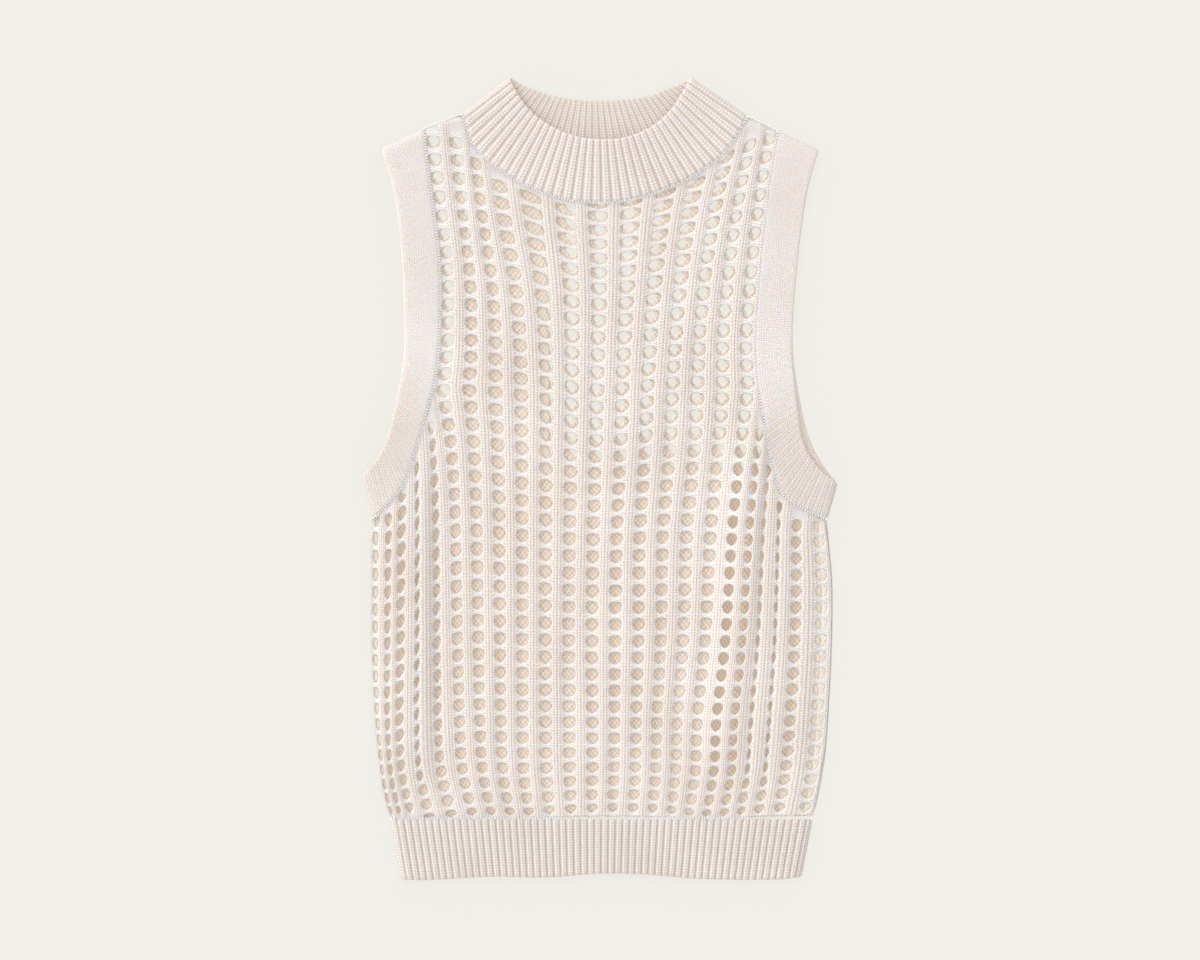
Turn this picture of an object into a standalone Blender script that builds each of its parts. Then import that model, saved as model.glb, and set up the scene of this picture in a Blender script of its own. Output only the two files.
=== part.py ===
"""A sleeveless openwork knit top with a ribbed mock neck, laid flat with its front up.

It is built from the pieces that are knitted and linked together: a front, a back, a collar, two
armhole bands and a hem. Sizes are in millimetres until a mesh is made. +X is to the right as the
front is seen, +Y runs to the collar and +Z is up, with the surface that it lies on at zero."""

import math
from collections import namedtuple

import bmesh
import bpy
from mathutils import Vector

MM = 0.001

# Cloth, and how the layers lie on each other
WALL = 2.0
SEAM_GAP = 0.3
LAYER_GAP = 2.4
BACK_TOP = WALL
SIDE_SEAM = BACK_TOP + SEAM_GAP
FRONT_TOP = BACK_TOP + LAYER_GAP + WALL
FOLD_MIDDLE = FRONT_TOP / 2

# Openwork: 23 columns of holes with a raised rib on each side of every column. Column 0 is the
# middle one, and a rib lies at every half number.
SIDE_COLUMN = 11.75
ROLL_COLUMN = 10.25
ARMHOLE_COLUMN = 6.35
NECK_COLUMN = 4.74
OPEN_NECK_COLUMN = 4.26
RIB_CENTRES = [number + 0.5 for number in range(-12, 12)]
RIB_FOOT = 0.24
RIB_CREST = 0.15
RIB_RISE = 0.9

# Ribbed bands
BAND_RIB_RISE = 0.8
HEM_RIBS = 58
COLLAR_RIBS = 34
ARMHOLE_RIBS = 52
HEM_BACK_STEPS = 12
ARMHOLE_BACK_STEPS = 64
FOLD_TURNS = (22.5, 45.0, 67.5)
HEM_TURN = 5.0
COLLAR_TURN = 5.0
ARMHOLE_TURN = 7.0
COLLAR_LIFT = 6.0
RIGHT_BACK_PEEK = 3.4
ARMHOLE_SEAM_LAG = 0.05

# Heights up the body where its rows lie
HEM_SEAM_Y = -271.6
UNDERARM_Y = 73.2
BODY_ROWS = (HEM_SEAM_Y, -252.0, -226.0, -180.0, -130.0, -85.0, -48.0)
ARMHOLE_ROWS = 3
CHEST_ROWS = 5
SHOULDER_TURN = 5.0
SHOULDER_LEANS = (60.0, 30.0, 0.0)

# Side edges of the laid body
SideRow = namedtuple("SideRow", "y left right")
SIDES = (
    SideRow(-271.6, -167.5, 170.0),
    SideRow(-264.0, -171.0, 172.5),
    SideRow(-243.0, -176.0, 177.0),
    SideRow(-216.0, -179.2, 181.0),
    SideRow(-186.0, -182.0, 183.2),
    SideRow(-140.0, -184.0, 185.6),
    SideRow(-87.0, -184.2, 186.2),
    SideRow(-48.0, -184.0, 183.2),
    SideRow(-33.2, -183.4, 181.6),
)

# Where seven of the columns lie across the body, from the hem to the collar
ColumnRow = namedtuple("ColumnRow", "y minus9 minus6 minus3 middle plus3 plus6 plus9")
COLUMNS = (
    ColumnRow(-271.6, -150.4, -100.8, -56.0, -6.4, 41.6, 84.8, 126.0),
    ColumnRow(-233.0, -158.4, -109.6, -60.8, -5.9, 44.8, 91.2, 132.0),
    ColumnRow(-194.0, -160.0, -112.0, -61.8, -5.9, 45.6, 92.8, 135.2),
    ColumnRow(-128.0, -159.2, -113.8, -61.8, -6.4, 48.8, 100.0, 139.6),
    ColumnRow(-44.0, -158.4, -115.2, -62.0, -5.2, 50.4, 105.3, 142.4),
    ColumnRow(26.0, -157.6, -116.8, -62.4, -3.2, 56.0, 111.2, 144.8),
    ColumnRow(90.0, -157.6, -121.0, -63.2, -1.6, 59.2, 115.0, 144.8),
    ColumnRow(151.0, -157.6, -122.0, -65.6, -0.8, 64.0, 118.0, 144.8),
    ColumnRow(213.0, -157.6, -126.0, -72.8, -2.4, 72.0, 126.0, 144.8),
    ColumnRow(272.0, -157.6, -132.0, -76.0, -1.6, 84.8, 134.0, 144.8),
)

# The armhole seams: up to the underarm's end by the column that meets them, then by height
SeamPoint = namedtuple("SeamPoint", "column x y")
LEFT_UNDERARM = (
    SeamPoint(-11.75, -183.4, -33.2),
    SeamPoint(-11.0, -178.4, -30.0),
    SeamPoint(-10.0, -169.6, -21.0),
    SeamPoint(-9.0, -156.8, -5.0),
    SeamPoint(-8.0, -147.2, 23.0),
    SeamPoint(-7.0, -136.5, 60.0),
    SeamPoint(-6.35, -132.8, UNDERARM_Y),
)
RIGHT_UNDERARM = (
    SeamPoint(6.35, 125.6, UNDERARM_Y),
    SeamPoint(7.0, 130.0, 55.0),
    SeamPoint(8.0, 135.6, 19.0),
    SeamPoint(9.0, 144.0, -10.0),
    SeamPoint(10.0, 160.0, -22.8),
    SeamPoint(11.0, 174.4, -29.4),
    SeamPoint(11.75, 181.6, -33.2),
)
EdgePoint = namedtuple("EdgePoint", "y left right")
ARMHOLE_SIDES = (
    EdgePoint(73.2, -132.8, 125.6),
    EdgePoint(90.0, -130.0, 124.0),
    EdgePoint(113.0, -128.2, 123.4),
    EdgePoint(167.0, -128.0, 127.2),
    EdgePoint(213.0, -132.8, 132.0),
    EdgePoint(256.0, -138.4, 137.6),
    EdgePoint(280.0, -140.8, 142.4),
)

# The top edge of the front: shoulder, neckline, shoulder, by the column that meets it
LEFT_SHOULDER = (SeamPoint(-6.35, -140.8, 279.6), SeamPoint(-NECK_COLUMN, -110.4, 291.6))
FRONT_NECKLINE = (
    SeamPoint(-NECK_COLUMN, -110.4, 291.6),
    SeamPoint(-4.0, -100.8, 266.0),
    SeamPoint(-3.0, -82.4, 248.4),
    SeamPoint(-2.0, -56.0, 232.4),
    SeamPoint(-1.0, -27.2, 222.8),
    SeamPoint(0.0, -1.6, 220.4),
    SeamPoint(1.0, 25.6, 222.8),
    SeamPoint(2.0, 53.6, 231.6),
    SeamPoint(3.0, 78.4, 243.6),
    SeamPoint(4.0, 104.0, 265.0),
    SeamPoint(NECK_COLUMN, 118.4, 289.6),
)
RIGHT_SHOULDER = (SeamPoint(NECK_COLUMN, 118.4, 289.6), SeamPoint(6.35, 142.4, 277.6))
BACK_NECK_DROP = 34.0
BACK_NECK_STEPS = 24

# Free edges: armholes, collar and hem, as smooth curves through a few points each
LEFT_ARM_EDGE = (
    (-175.2, 263.6), (-165.6, 231.6), (-159.6, 190.0), (-156.8, 130.0), (-157.2, 96.0),
    (-164.6, 54.0), (-171.2, 30.0), (-180.8, 13.2), (-190.0, 3.0),
)
RIGHT_ARM_EDGE = (
    (175.2, 263.0), (166.4, 231.6), (160.0, 190.0), (154.8, 130.0), (155.2, 94.8),
    (162.4, 51.6), (168.6, 30.0), (178.4, 11.2), (190.0, -4.0),
)
COLLAR_TOP_FRONT = (
    (-72.0, 321.0), (-67.2, 310.8), (-56.0, 294.8), (-40.0, 282.4), (-20.0, 273.6), (0.0, 270.8),
    (20.0, 272.4), (40.0, 280.4), (55.0, 293.2), (65.0, 308.0), (72.0, 321.0),
)
COLLAR_TOP_BACK = (
    (-72.0, 321.0), (-56.0, 312.4), (-28.0, 304.6), (3.0, 302.8), (34.0, 305.6), (57.0, 313.8),
    (72.0, 321.0),
)
HEM_EDGE = (
    (-159.2, -320.4), (-140.0, -321.0), (-86.0, -318.2), (-44.0, -318.8), (0.0, -315.8),
    (36.0, -316.4), (80.0, -320.0), (140.0, -320.6), (161.0, -318.6),
)

# Largest folds and the soft rolls at the sides. A crest runs from its low end to its high end.
Fold = namedtuple("Fold", "rise y_low y_high fade x_low x_high crest left_flank right_flank")
FOLDS = (
    Fold(8.0, -266.0, 42.0, 76.0, -172.0, -172.0, 20.0, 20.0, 21.0),
    Fold(8.5, -268.0, 66.0, 64.0, 91.0, 125.0, 5.0, 15.0, 17.0),
    Fold(3.0, -266.0, -20.0, 60.0, 168.0, 170.0, 10.0, 14.0, 20.0),
    Fold(1.6, -240.0, 120.0, 90.0, 20.0, 34.0, 6.0, 34.0, 40.0),
)


def smooth_value(knots, at):
    """The value at this place of a smooth curve through knots, (place, value) in order of place."""
    at = min(max(at, knots[0][0]), knots[-1][0])
    right = next(k for k in range(1, len(knots)) if at <= knots[k][0])
    left = right - 1

    def slope(k):
        before, after = max(k - 1, 0), min(k + 1, len(knots) - 1)
        return (knots[after][1] - knots[before][1]) / (knots[after][0] - knots[before][0])

    span = knots[right][0] - knots[left][0]
    t = (at - knots[left][0]) / span
    return (
        (2 * t**3 - 3 * t**2 + 1) * knots[left][1]
        + (t**3 - 2 * t**2 + t) * span * slope(left)
        + (3 * t**2 - 2 * t**3) * knots[right][1]
        + (t**3 - t**2) * span * slope(right)
    )


def column_of(table, place, value, at):
    """The smooth value of one column of a table, read along another."""
    return smooth_value([(getattr(row, place), getattr(row, value)) for row in table], at)


def smooth_path(points, steps=60):
    """Plan points along a smooth curve through a few of them."""
    lengths = [0.0]
    for before, after in zip(points, points[1:]):
        lengths.append(lengths[-1] + math.dist(before, after))
    across = [(length, point[0]) for length, point in zip(lengths, points)]
    along = [(length, point[1]) for length, point in zip(lengths, points)]
    places = [lengths[-1] * step / steps for step in range(steps + 1)]
    return [Vector((smooth_value(across, at), smooth_value(along, at))) for at in places]


def path_length(path):
    return sum((after - before).length for before, after in zip(path, path[1:]))


def point_along(path, distance):
    """The plan point at this distance along a path of straight steps."""
    for before, after in zip(path, path[1:]):
        step = (after - before).length
        if distance <= step:
            return before.lerp(after, distance / step)
        distance -= step
    return path[-1].copy()


def moved_sideways(path, distance):
    """A path moved to its left by this distance, so that a seam keeps its gap."""
    moved = []
    for k, point in enumerate(path):
        ahead = (path[min(k + 1, len(path) - 1)] - path[max(k - 1, 0)]).normalized()
        moved.append(point + distance * Vector((-ahead.y, ahead.x)))
    return moved


def ease(share):
    share = min(max(share, 0.0), 1.0)
    return share * share * (3 - 2 * share)


def fold_rise(x, y):
    """How far the folds and side rolls lift the front at a plan point."""
    rise = 0.0
    for fold in FOLDS:
        ends = ease((y - fold.y_low) / fold.fade) * ease((fold.y_high - y) / fold.fade)
        share = (y - fold.y_low) / (fold.y_high - fold.y_low)
        off = x - (fold.x_low + share * (fold.x_high - fold.x_low))
        flank = fold.left_flank if off < 0 else fold.right_flank
        past = min(max((abs(off) - fold.crest) / flank, 0.0), 1.0)
        rise += fold.rise * ends * 0.5 * (1 + math.cos(math.pi * past))
    return rise


def front_height(x, y):
    """The height of the front layer's upper face, away from its edges."""
    return FRONT_TOP + fold_rise(x, y)


def upright_wall(x, y):
    """The wall measured straight down, so that it keeps its thickness on a slope."""
    step = 0.5
    slope_x = (front_height(x + step, y) - front_height(x - step, y)) / (2 * step)
    slope_y = (front_height(x, y + step) - front_height(x, y - step)) / (2 * step)
    return WALL * math.sqrt(1 + slope_x**2 + slope_y**2)


def body_columns():
    """The columns of points across the front: the feet and the crest of each rib, in order."""
    offsets = (-RIB_FOOT, -RIB_CREST, RIB_CREST, RIB_FOOT)
    columns = [round(centre + offset, 3) for centre in RIB_CENTRES for offset in offsets]
    columns[0], columns[-1] = -SIDE_COLUMN, SIDE_COLUMN
    return columns


def rib_share(column):
    """1 on a rib's crest and 0 at its foot or at the body's edge."""
    centre = math.floor(column) + 0.5
    on_crest = abs(abs(column - centre) - RIB_CREST) < 0.001
    return 1.0 if on_crest and abs(column) < SIDE_COLUMN else 0.0


def lower_place(column, y):
    """Where a column crosses the body at this height, from side edge to side edge."""
    def read(value):
        return column_of(COLUMNS, "y", value, y)

    left = column_of(SIDES, "y", "left", y)
    right = column_of(SIDES, "y", "right", y)
    knots = [
        (-SIDE_COLUMN, left), (-9, read("minus9")), (-6, read("minus6")), (-3, read("minus3")),
        (0, read("middle")), (3, read("plus3")), (6, read("plus6")), (9, read("plus9")),
        (SIDE_COLUMN, right),
    ]
    if abs(column) <= ROLL_COLUMN:
        return smooth_value(knots, column)
    side, edge = (-1, left) if column < 0 else (1, right)
    roll = side * (edge - smooth_value(knots, side * ROLL_COLUMN))
    return edge - side * roll * (1 - math.cos(side_lean(column)))


def upper_place(column, y):
    """Where a column crosses the chest at this height, from armhole seam to armhole seam."""
    knots = [
        (-ARMHOLE_COLUMN, column_of(ARMHOLE_SIDES, "y", "left", y)),
        (-3, column_of(COLUMNS, "y", "minus3", y)),
        (0, column_of(COLUMNS, "y", "middle", y)),
        (3, column_of(COLUMNS, "y", "plus3", y)),
        (ARMHOLE_COLUMN, column_of(ARMHOLE_SIDES, "y", "right", y)),
    ]
    return smooth_value(knots, column)


def side_lean(column):
    """How far the cloth has turned up from the side seam: a right angle where it lies flat."""
    past = max(abs(column) - ROLL_COLUMN, 0.0) / (SIDE_COLUMN - ROLL_COLUMN)
    return math.pi / 2 * (1 - past)


def underarm_end(column):
    """Where a column stops at the armhole seam, or crosses the height of the underarm's end."""
    if abs(column) <= ARMHOLE_COLUMN:
        return Vector((upper_place(column, UNDERARM_Y), UNDERARM_Y))
    table = LEFT_UNDERARM if column < 0 else RIGHT_UNDERARM
    return Vector((column_of(table, "column", "x", column), column_of(table, "column", "y", column)))


def top_end(column):
    """Where a column stops at the shoulder seam or the neckline."""
    table = FRONT_NECKLINE
    if column < -NECK_COLUMN:
        table = LEFT_SHOULDER
    if column > NECK_COLUMN:
        table = RIGHT_SHOULDER
    return Vector((column_of(table, "column", "x", column), column_of(table, "column", "y", column)))


def closing(column):
    """1 where the front turns down to the shoulder seam, 0 where it runs on into the collar."""
    return ease((abs(column) - OPEN_NECK_COLUMN) / (NECK_COLUMN - OPEN_NECK_COLUMN))


def make_wall(name, cells, outside, inside, material):
    """A closed wall from two sets of points with the same keys, joined round their open edges."""
    mesh = bmesh.new()
    outer = {key: mesh.verts.new(Vector(point) * MM) for key, point in outside.items()}
    inner = {key: mesh.verts.new(Vector(point) * MM) for key, point in inside.items()}
    uses = {}
    for cell in cells:
        mesh.faces.new([outer[key] for key in cell])
        mesh.faces.new([inner[key] for key in reversed(cell)])
        for start, end in zip(cell, cell[1:] + cell[:1]):
            uses.setdefault(frozenset((start, end)), []).append((start, end))
    for edges in uses.values():
        if len(edges) == 1:
            start, end = edges[0]
            mesh.faces.new([outer[end], outer[start], inner[start], inner[end]])
    return finish_mesh(name, mesh, material)


def finish_mesh(name, mesh, material):
    bmesh.ops.recalc_face_normals(mesh, faces=mesh.faces)
    data = bpy.data.meshes.new(name)
    mesh.to_mesh(data)
    mesh.free()
    data.materials.append(material)
    return bpy.data.objects.new(name, data)


def knit_material(name, colour, roughness):
    material = bpy.data.materials.new(name)
    material.use_nodes = True
    shader = material.node_tree.nodes["Principled BSDF"]
    shader.inputs["Base Color"].default_value = (*colour, 1.0)
    shader.inputs["Roughness"].default_value = roughness
    shader.inputs["Metallic"].default_value = 0.0
    return material


def chest_places(column):
    """Plan points and lean of a column from the underarm's height to its top end."""
    top = top_end(column)
    flat_end = top.y - SHOULDER_TURN
    heights = [
        (UNDERARM_Y + (flat_end - UNDERARM_Y) * step / CHEST_ROWS, math.pi / 2)
        for step in range(1, CHEST_ROWS + 1)
    ]
    for degrees in SHOULDER_LEANS:
        lean = math.radians(degrees)
        heights.append((top.y - SHOULDER_TURN * (1 - math.cos(lean)), lean))
    correction = top.x - upper_place(column, top.y)
    places = []
    for y, lean in heights:
        share = (y - UNDERARM_Y) / (top.y - UNDERARM_Y)
        places.append((Vector((upper_place(column, y) + share**2 * correction, y)), lean))
    return places


def armhole_seam(side):
    """The front's armhole edge in plan, from the shoulder down to the underarm corner."""
    chest = [place for place, lean in chest_places(side * ARMHOLE_COLUMN)]
    columns = sorted(column for column in body_columns() if column >= ARMHOLE_COLUMN - 0.001)
    return chest[::-1] + [underarm_end(side * column) for column in columns]


def front_neck_seam():
    return [top_end(column) for column in body_columns() if abs(column) < NECK_COLUMN + 0.001]


def back_neck_seam():
    """The back neckline in plan: shallower than the front's, between the same two tips."""
    left, right = top_end(-NECK_COLUMN), top_end(NECK_COLUMN)
    path = []
    for step in range(BACK_NECK_STEPS + 1):
        share = step / BACK_NECK_STEPS
        drop = BACK_NECK_DROP * math.sin(math.pi * share)
        path.append(left.lerp(right, share) - Vector((0, drop)))
    return path


def side_seam(side):
    """The side edge in plan, from the hem up to just below the underarm corner."""
    heights = list(BODY_ROWS)
    corner = underarm_end(side * SIDE_COLUMN)
    for step in range(1, ARMHOLE_ROWS):
        heights.append(BODY_ROWS[-1] + (corner.y - BODY_ROWS[-1]) * step / ARMHOLE_ROWS)
    return [Vector((lower_place(side * SIDE_COLUMN, y), y)) for y in heights]


def make_front(material):
    """The front: ribs raised on its outer face, folds, and edges that turn down to the back."""
    columns = body_columns()
    chest = [column for column in columns if abs(column) < ARMHOLE_COLUMN + 0.001]
    outside, inside = {}, {}

    def add_below(row, column, x, y, on_seam=False):
        side, lean = math.copysign(1, column), side_lean(column)
        height = SIDE_SEAM + (front_height(x, y) - SIDE_SEAM) * math.sin(lean)
        rise = RIB_RISE * rib_share(column)
        sideways = 0.0 if on_seam else side * rise * math.cos(lean)
        outside[row, column] = (x + sideways, y, height + rise * math.sin(lean))
        thickness = upright_wall(x, y) if abs(column) <= ROLL_COLUMN else WALL * math.sin(lean)
        inside[row, column] = (x - side * WALL * math.cos(lean), y, height - thickness)

    for row, y in enumerate(BODY_ROWS):
        for column in columns:
            add_below(row, column, lower_place(column, y), y)
    for step in range(1, ARMHOLE_ROWS + 1):
        share = step / ARMHOLE_ROWS
        for column in columns:
            end = underarm_end(column)
            y = BODY_ROWS[-1] + share * (end.y - BODY_ROWS[-1])
            x = lower_place(column, y) + share**2 * (end.x - lower_place(column, end.y))
            add_below(len(BODY_ROWS) - 1 + step, column, x, y, on_seam=step == ARMHOLE_ROWS)
    below = len(BODY_ROWS) + ARMHOLE_ROWS
    for column in chest:
        places = chest_places(column)
        down = (places[CHEST_ROWS - 1][0] - places[-1][0]).normalized()
        for step, (place, lean) in enumerate(places):
            flat = 1 - closing(column) * (1 - math.sin(lean))
            height = SIDE_SEAM + (front_height(place.x, place.y) - SIDE_SEAM) * flat
            inner = place + closing(column) * WALL * math.cos(lean) * down
            rise = RIB_RISE * rib_share(column) * flat
            outside[below + step, column] = (place.x, place.y, height + rise)
            wall = upright_wall(place.x, place.y) * flat
            inside[below + step, column] = (*inner, height - wall)
    cells = []
    for row in range(below + CHEST_ROWS + len(SHOULDER_LEANS) - 1):
        line = columns if row < below - 1 else chest
        for left, right in zip(line, line[1:]):
            cells.append([(row, left), (row, right), (row + 1, right), (row + 1, left)])
    return make_wall("front_body", cells, outside, inside, material)


def make_back(material):
    """The back: one flat panel under the front, cut to the same sides and armholes."""
    outline = side_seam(-1) + armhole_seam(-1)[::-1] + back_neck_seam()
    outline += armhole_seam(1) + side_seam(1)[::-1]
    mesh = bmesh.new()
    face = mesh.faces.new([mesh.verts.new((*(point * MM), 0.0)) for point in outline])
    raised = bmesh.ops.extrude_face_region(mesh, geom=[face])["geom"]
    lifted = [item for item in raised if isinstance(item, bmesh.types.BMVert)]
    bmesh.ops.translate(mesh, verts=lifted, vec=(0.0, 0.0, BACK_TOP * MM))
    return finish_mesh("back_body", mesh, material)


Stop = namedtuple("Stop", "layer fold share lean ridge")
Band = namedtuple("Band", "name turn levels ribs back_steps back_ridges lift seam_lag edges")


def band_stops(band):
    """The places round a flattened tube: a fold, the front, the other fold, then the back."""
    leans = [math.radians(degrees) for degrees in FOLD_TURNS]
    front_steps = 2 * band.ribs
    stops = [Stop("both", "start", 0.0, 0.0, 0)]
    stops += [Stop("front", "start", 0.0, lean, 0) for lean in leans]
    stops += [
        Stop("front", "none", step / front_steps, math.pi / 2, step % 2)
        for step in range(front_steps + 1)
    ]
    stops += [Stop("front", "end", 1.0, lean, 0) for lean in reversed(leans)]
    stops.append(Stop("both", "end", 1.0, 0.0, 0))
    stops += [Stop("back", "end", 1.0, lean, 0) for lean in leans]
    stops += [
        Stop("back", "none", 1 - step / band.back_steps, math.pi / 2, step % 2 * band.back_ridges)
        for step in range(band.back_steps + 1)
    ]
    stops += [Stop("back", "start", 0.0, lean, 0) for lean in reversed(leans)]
    return stops


def plan_point(path, stop, turn, inward, lag=0.0):
    """A stop's plan point along one edge of a band, moved in from the fold for the inner face."""
    length = path_length(path)
    share = stop.share - lag * math.sin(math.pi * stop.share)
    if stop.fold == "start":
        return point_along(path, turn * (1 - math.cos(stop.lean)) + inward)
    if stop.fold == "end":
        return point_along(path, length - turn * (1 - math.cos(stop.lean)) - inward)
    return point_along(path, turn + share * (length - 2 * turn))


def make_band(band, seams, material):
    """A ribbed tube laid flat: its front over its back, folded at both ends."""
    stops = band_stops(band)
    paths = dict(zip(("front", "back"), zip(seams, band.edges)))
    outside, inside = {}, {}

    def place(stop, level, inward):
        layers = ("front", "back") if stop.layer == "both" else (stop.layer,)
        points = []
        for layer in layers:
            seam, edge = paths[layer]
            at_seam = plan_point(seam, stop, band.turn, inward, band.seam_lag)
            at_edge = plan_point(edge, stop, band.turn, inward)
            points.append(at_seam.lerp(at_edge, level / (band.levels - 1)))
        return sum(points, Vector((0.0, 0.0))) / len(points)

    for level in range(band.levels):
        for number, stop in enumerate(stops):
            upright, across = math.sin(stop.lean), math.cos(stop.lean)
            outer = place(stop, level, 0.0)
            inner = place(stop, level, WALL * across)
            ridge = BAND_RIB_RISE * stop.ridge
            if stop.layer == "back":
                height = FOLD_MIDDLE * (1 - upright)
                outside[level, number] = (*outer, height)
                inside[level, number] = (*inner, height + WALL * upright + ridge)
            else:
                lift = band.lift * math.sin(math.pi * stop.share) * level / (band.levels - 1)
                top = front_height(*outer) + lift
                height = FOLD_MIDDLE + (top - FOLD_MIDDLE) * upright
                outside[level, number] = (*outer, height + ridge)
                inside[level, number] = (*inner, height - WALL * upright)
    cells = []
    for level in range(band.levels - 1):
        for number in range(len(stops)):
            after = (number + 1) % len(stops)
            cells.append([(level, number), (level, after), (level + 1, after), (level + 1, number)])
    return make_wall(band.name, cells, outside, inside, material)


def make_hem(material):
    left, right = side_seam(-1)[0], side_seam(1)[0]
    seam = [point - Vector((0.0, SEAM_GAP)) for point in (left, right)]
    edge = smooth_path(HEM_EDGE)
    band = Band("hem_rib", HEM_TURN, 2, HEM_RIBS, HEM_BACK_STEPS, 0, 0.0, 0.0, (edge, edge))
    return make_band(band, (seam, seam), material)


def make_collar(material):
    seams = [moved_sideways(seam, SEAM_GAP) for seam in (front_neck_seam(), back_neck_seam())]
    edges = (smooth_path(COLLAR_TOP_FRONT), smooth_path(COLLAR_TOP_BACK))
    back_steps = 2 * COLLAR_RIBS
    band = Band(
        "neck_collar", COLLAR_TURN, 3, COLLAR_RIBS, back_steps, 1, COLLAR_LIFT, 0.0, edges
    )
    return make_band(band, seams, material)


def make_armhole_band(name, side, edge_points, back_peek, material):
    seam = moved_sideways(armhole_seam(side), side * SEAM_GAP)
    edge = smooth_path(edge_points)
    last = len(edge) - 1
    back_edge = [
        point + Vector((side * back_peek * math.sin(math.pi * (number / last) ** 2), 0.0))
        for number, point in enumerate(edge)
    ]
    band = Band(
        name, ARMHOLE_TURN, 2, ARMHOLE_RIBS, ARMHOLE_BACK_STEPS, 0, 0.0, ARMHOLE_SEAM_LAG,
        (edge, back_edge),
    )
    return make_band(band, (seam, seam), material)


def build():
    for old in list(bpy.data.objects):
        bpy.data.objects.remove(old, do_unlink=True)
    ivory, ivory_shade = (0.86, 0.80, 0.74), (0.80, 0.73, 0.66)
    left_rib = knit_material("left_band_rib_cotton", ivory, 0.88)
    right_rib = knit_material("right_band_rib_cotton", ivory, 0.88)
    pieces = [
        make_back(knit_material("back_openwork_cotton", ivory_shade, 0.9)),
        make_front(knit_material("front_openwork_cotton", ivory, 0.9)),
        make_collar(knit_material("collar_rib_cotton", ivory, 0.88)),
        make_armhole_band("armhole_band_left", -1, LEFT_ARM_EDGE, 0.0, left_rib),
        make_armhole_band("armhole_band_right", 1, RIGHT_ARM_EDGE, RIGHT_BACK_PEEK, right_rib),
        make_hem(knit_material("hem_rib_cotton", ivory, 0.88)),
    ]
    garment = bpy.data.collections.new("openwork_knit_top")
    bpy.context.scene.collection.children.link(garment)
    for piece in pieces:
        garment.objects.link(piece)


build()
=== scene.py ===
import functools
import math
from collections import namedtuple

import bmesh
import bpy
from mathutils import Matrix, Vector


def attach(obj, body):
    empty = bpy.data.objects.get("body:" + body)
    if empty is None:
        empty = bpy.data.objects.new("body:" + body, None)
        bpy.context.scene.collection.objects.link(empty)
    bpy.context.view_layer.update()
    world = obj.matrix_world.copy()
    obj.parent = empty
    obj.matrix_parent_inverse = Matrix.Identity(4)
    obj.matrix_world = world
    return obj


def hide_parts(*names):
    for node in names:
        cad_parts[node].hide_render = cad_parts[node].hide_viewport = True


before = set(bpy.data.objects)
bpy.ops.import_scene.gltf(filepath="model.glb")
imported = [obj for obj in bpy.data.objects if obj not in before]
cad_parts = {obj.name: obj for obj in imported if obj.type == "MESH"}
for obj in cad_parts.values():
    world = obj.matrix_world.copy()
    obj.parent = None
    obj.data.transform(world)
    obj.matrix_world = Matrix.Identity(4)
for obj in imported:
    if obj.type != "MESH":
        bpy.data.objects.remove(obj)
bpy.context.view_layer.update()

# Floor, light and camera
# The top lies on a plain pale table that glows faintly, under wide soft light from the upper left:
# a key light without a shadow, and a second light that models the cloth alone.
FRAME_WIDTH_IN_PIXELS = 1200
METRES_PER_PIXEL = 0.0008
CAMERA_HEIGHT = 3.0
CAMERA_SENSOR = 36.0
CAMERA_SHIFT_IN_PIXELS = 1.5
FLOOR_HALF_WIDTH = 12.0
FLOOR_DROP = 0.0004
TABLE_COLOUR = (0.323, 0.316, 0.296)
TABLE_GLOW = (0.557, 0.545, 0.508)
TABLE_ROUGHNESS = 0.9
TABLE_SPECULAR = 0.1
SKY_COLOUR = (0.96, 1.0, 1.06)
SKY_STRENGTH = 0.74
KEY_PLACE = (-1.0, 1.0, 2.0)
KEY_COLOUR = (1.02, 0.985, 0.92)
KEY_STRENGTH = 1.24
MODELLING_PLACE = (-1.2, 1.0, 2.0)
MODELLING_COLOUR = (0.955, 0.99, 1.05)
MODELLING_STRENGTH = 0.87
SUN_LEAN = math.radians(47)
SUN_FROM = math.radians(152)
SUN_WIDTH = math.radians(24)

bpy.ops.mesh.primitive_plane_add(size=2 * FLOOR_HALF_WIDTH, location=(0, 0, -FLOOR_DROP))
floor = bpy.context.object
floor.name = "table_top"
floor_paint = bpy.data.materials.new("pale_table_top")
floor_paint.use_nodes = True
floor_shader = floor_paint.node_tree.nodes["Principled BSDF"]
floor_shader.inputs["Base Color"].default_value = (*TABLE_COLOUR, 1)
floor_shader.inputs["Emission Color"].default_value = (*TABLE_GLOW, 1)
floor_shader.inputs["Emission Strength"].default_value = 1.0
floor_shader.inputs["Roughness"].default_value = TABLE_ROUGHNESS
floor_shader.inputs["Specular IOR Level"].default_value = TABLE_SPECULAR
floor.data.materials.append(floor_paint)

sky = bpy.data.worlds.new("soft_studio")
sky.use_nodes = True
sky.node_tree.nodes["Background"].inputs["Color"].default_value = (*SKY_COLOUR, 1)
sky.node_tree.nodes["Background"].inputs["Strength"].default_value = SKY_STRENGTH
bpy.context.scene.world = sky
bpy.context.scene.view_settings.view_transform = "Standard"


def add_sun(name, place, strength, colour):
    """A wide soft light from the upper left."""
    bpy.ops.object.light_add(type="SUN", location=place)
    sun = bpy.context.object
    sun.name = name
    sun.rotation_euler = (SUN_LEAN, 0, SUN_FROM + math.pi / 2)
    sun.data.energy = strength
    sun.data.angle = SUN_WIDTH
    sun.data.color = colour
    return sun


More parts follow.
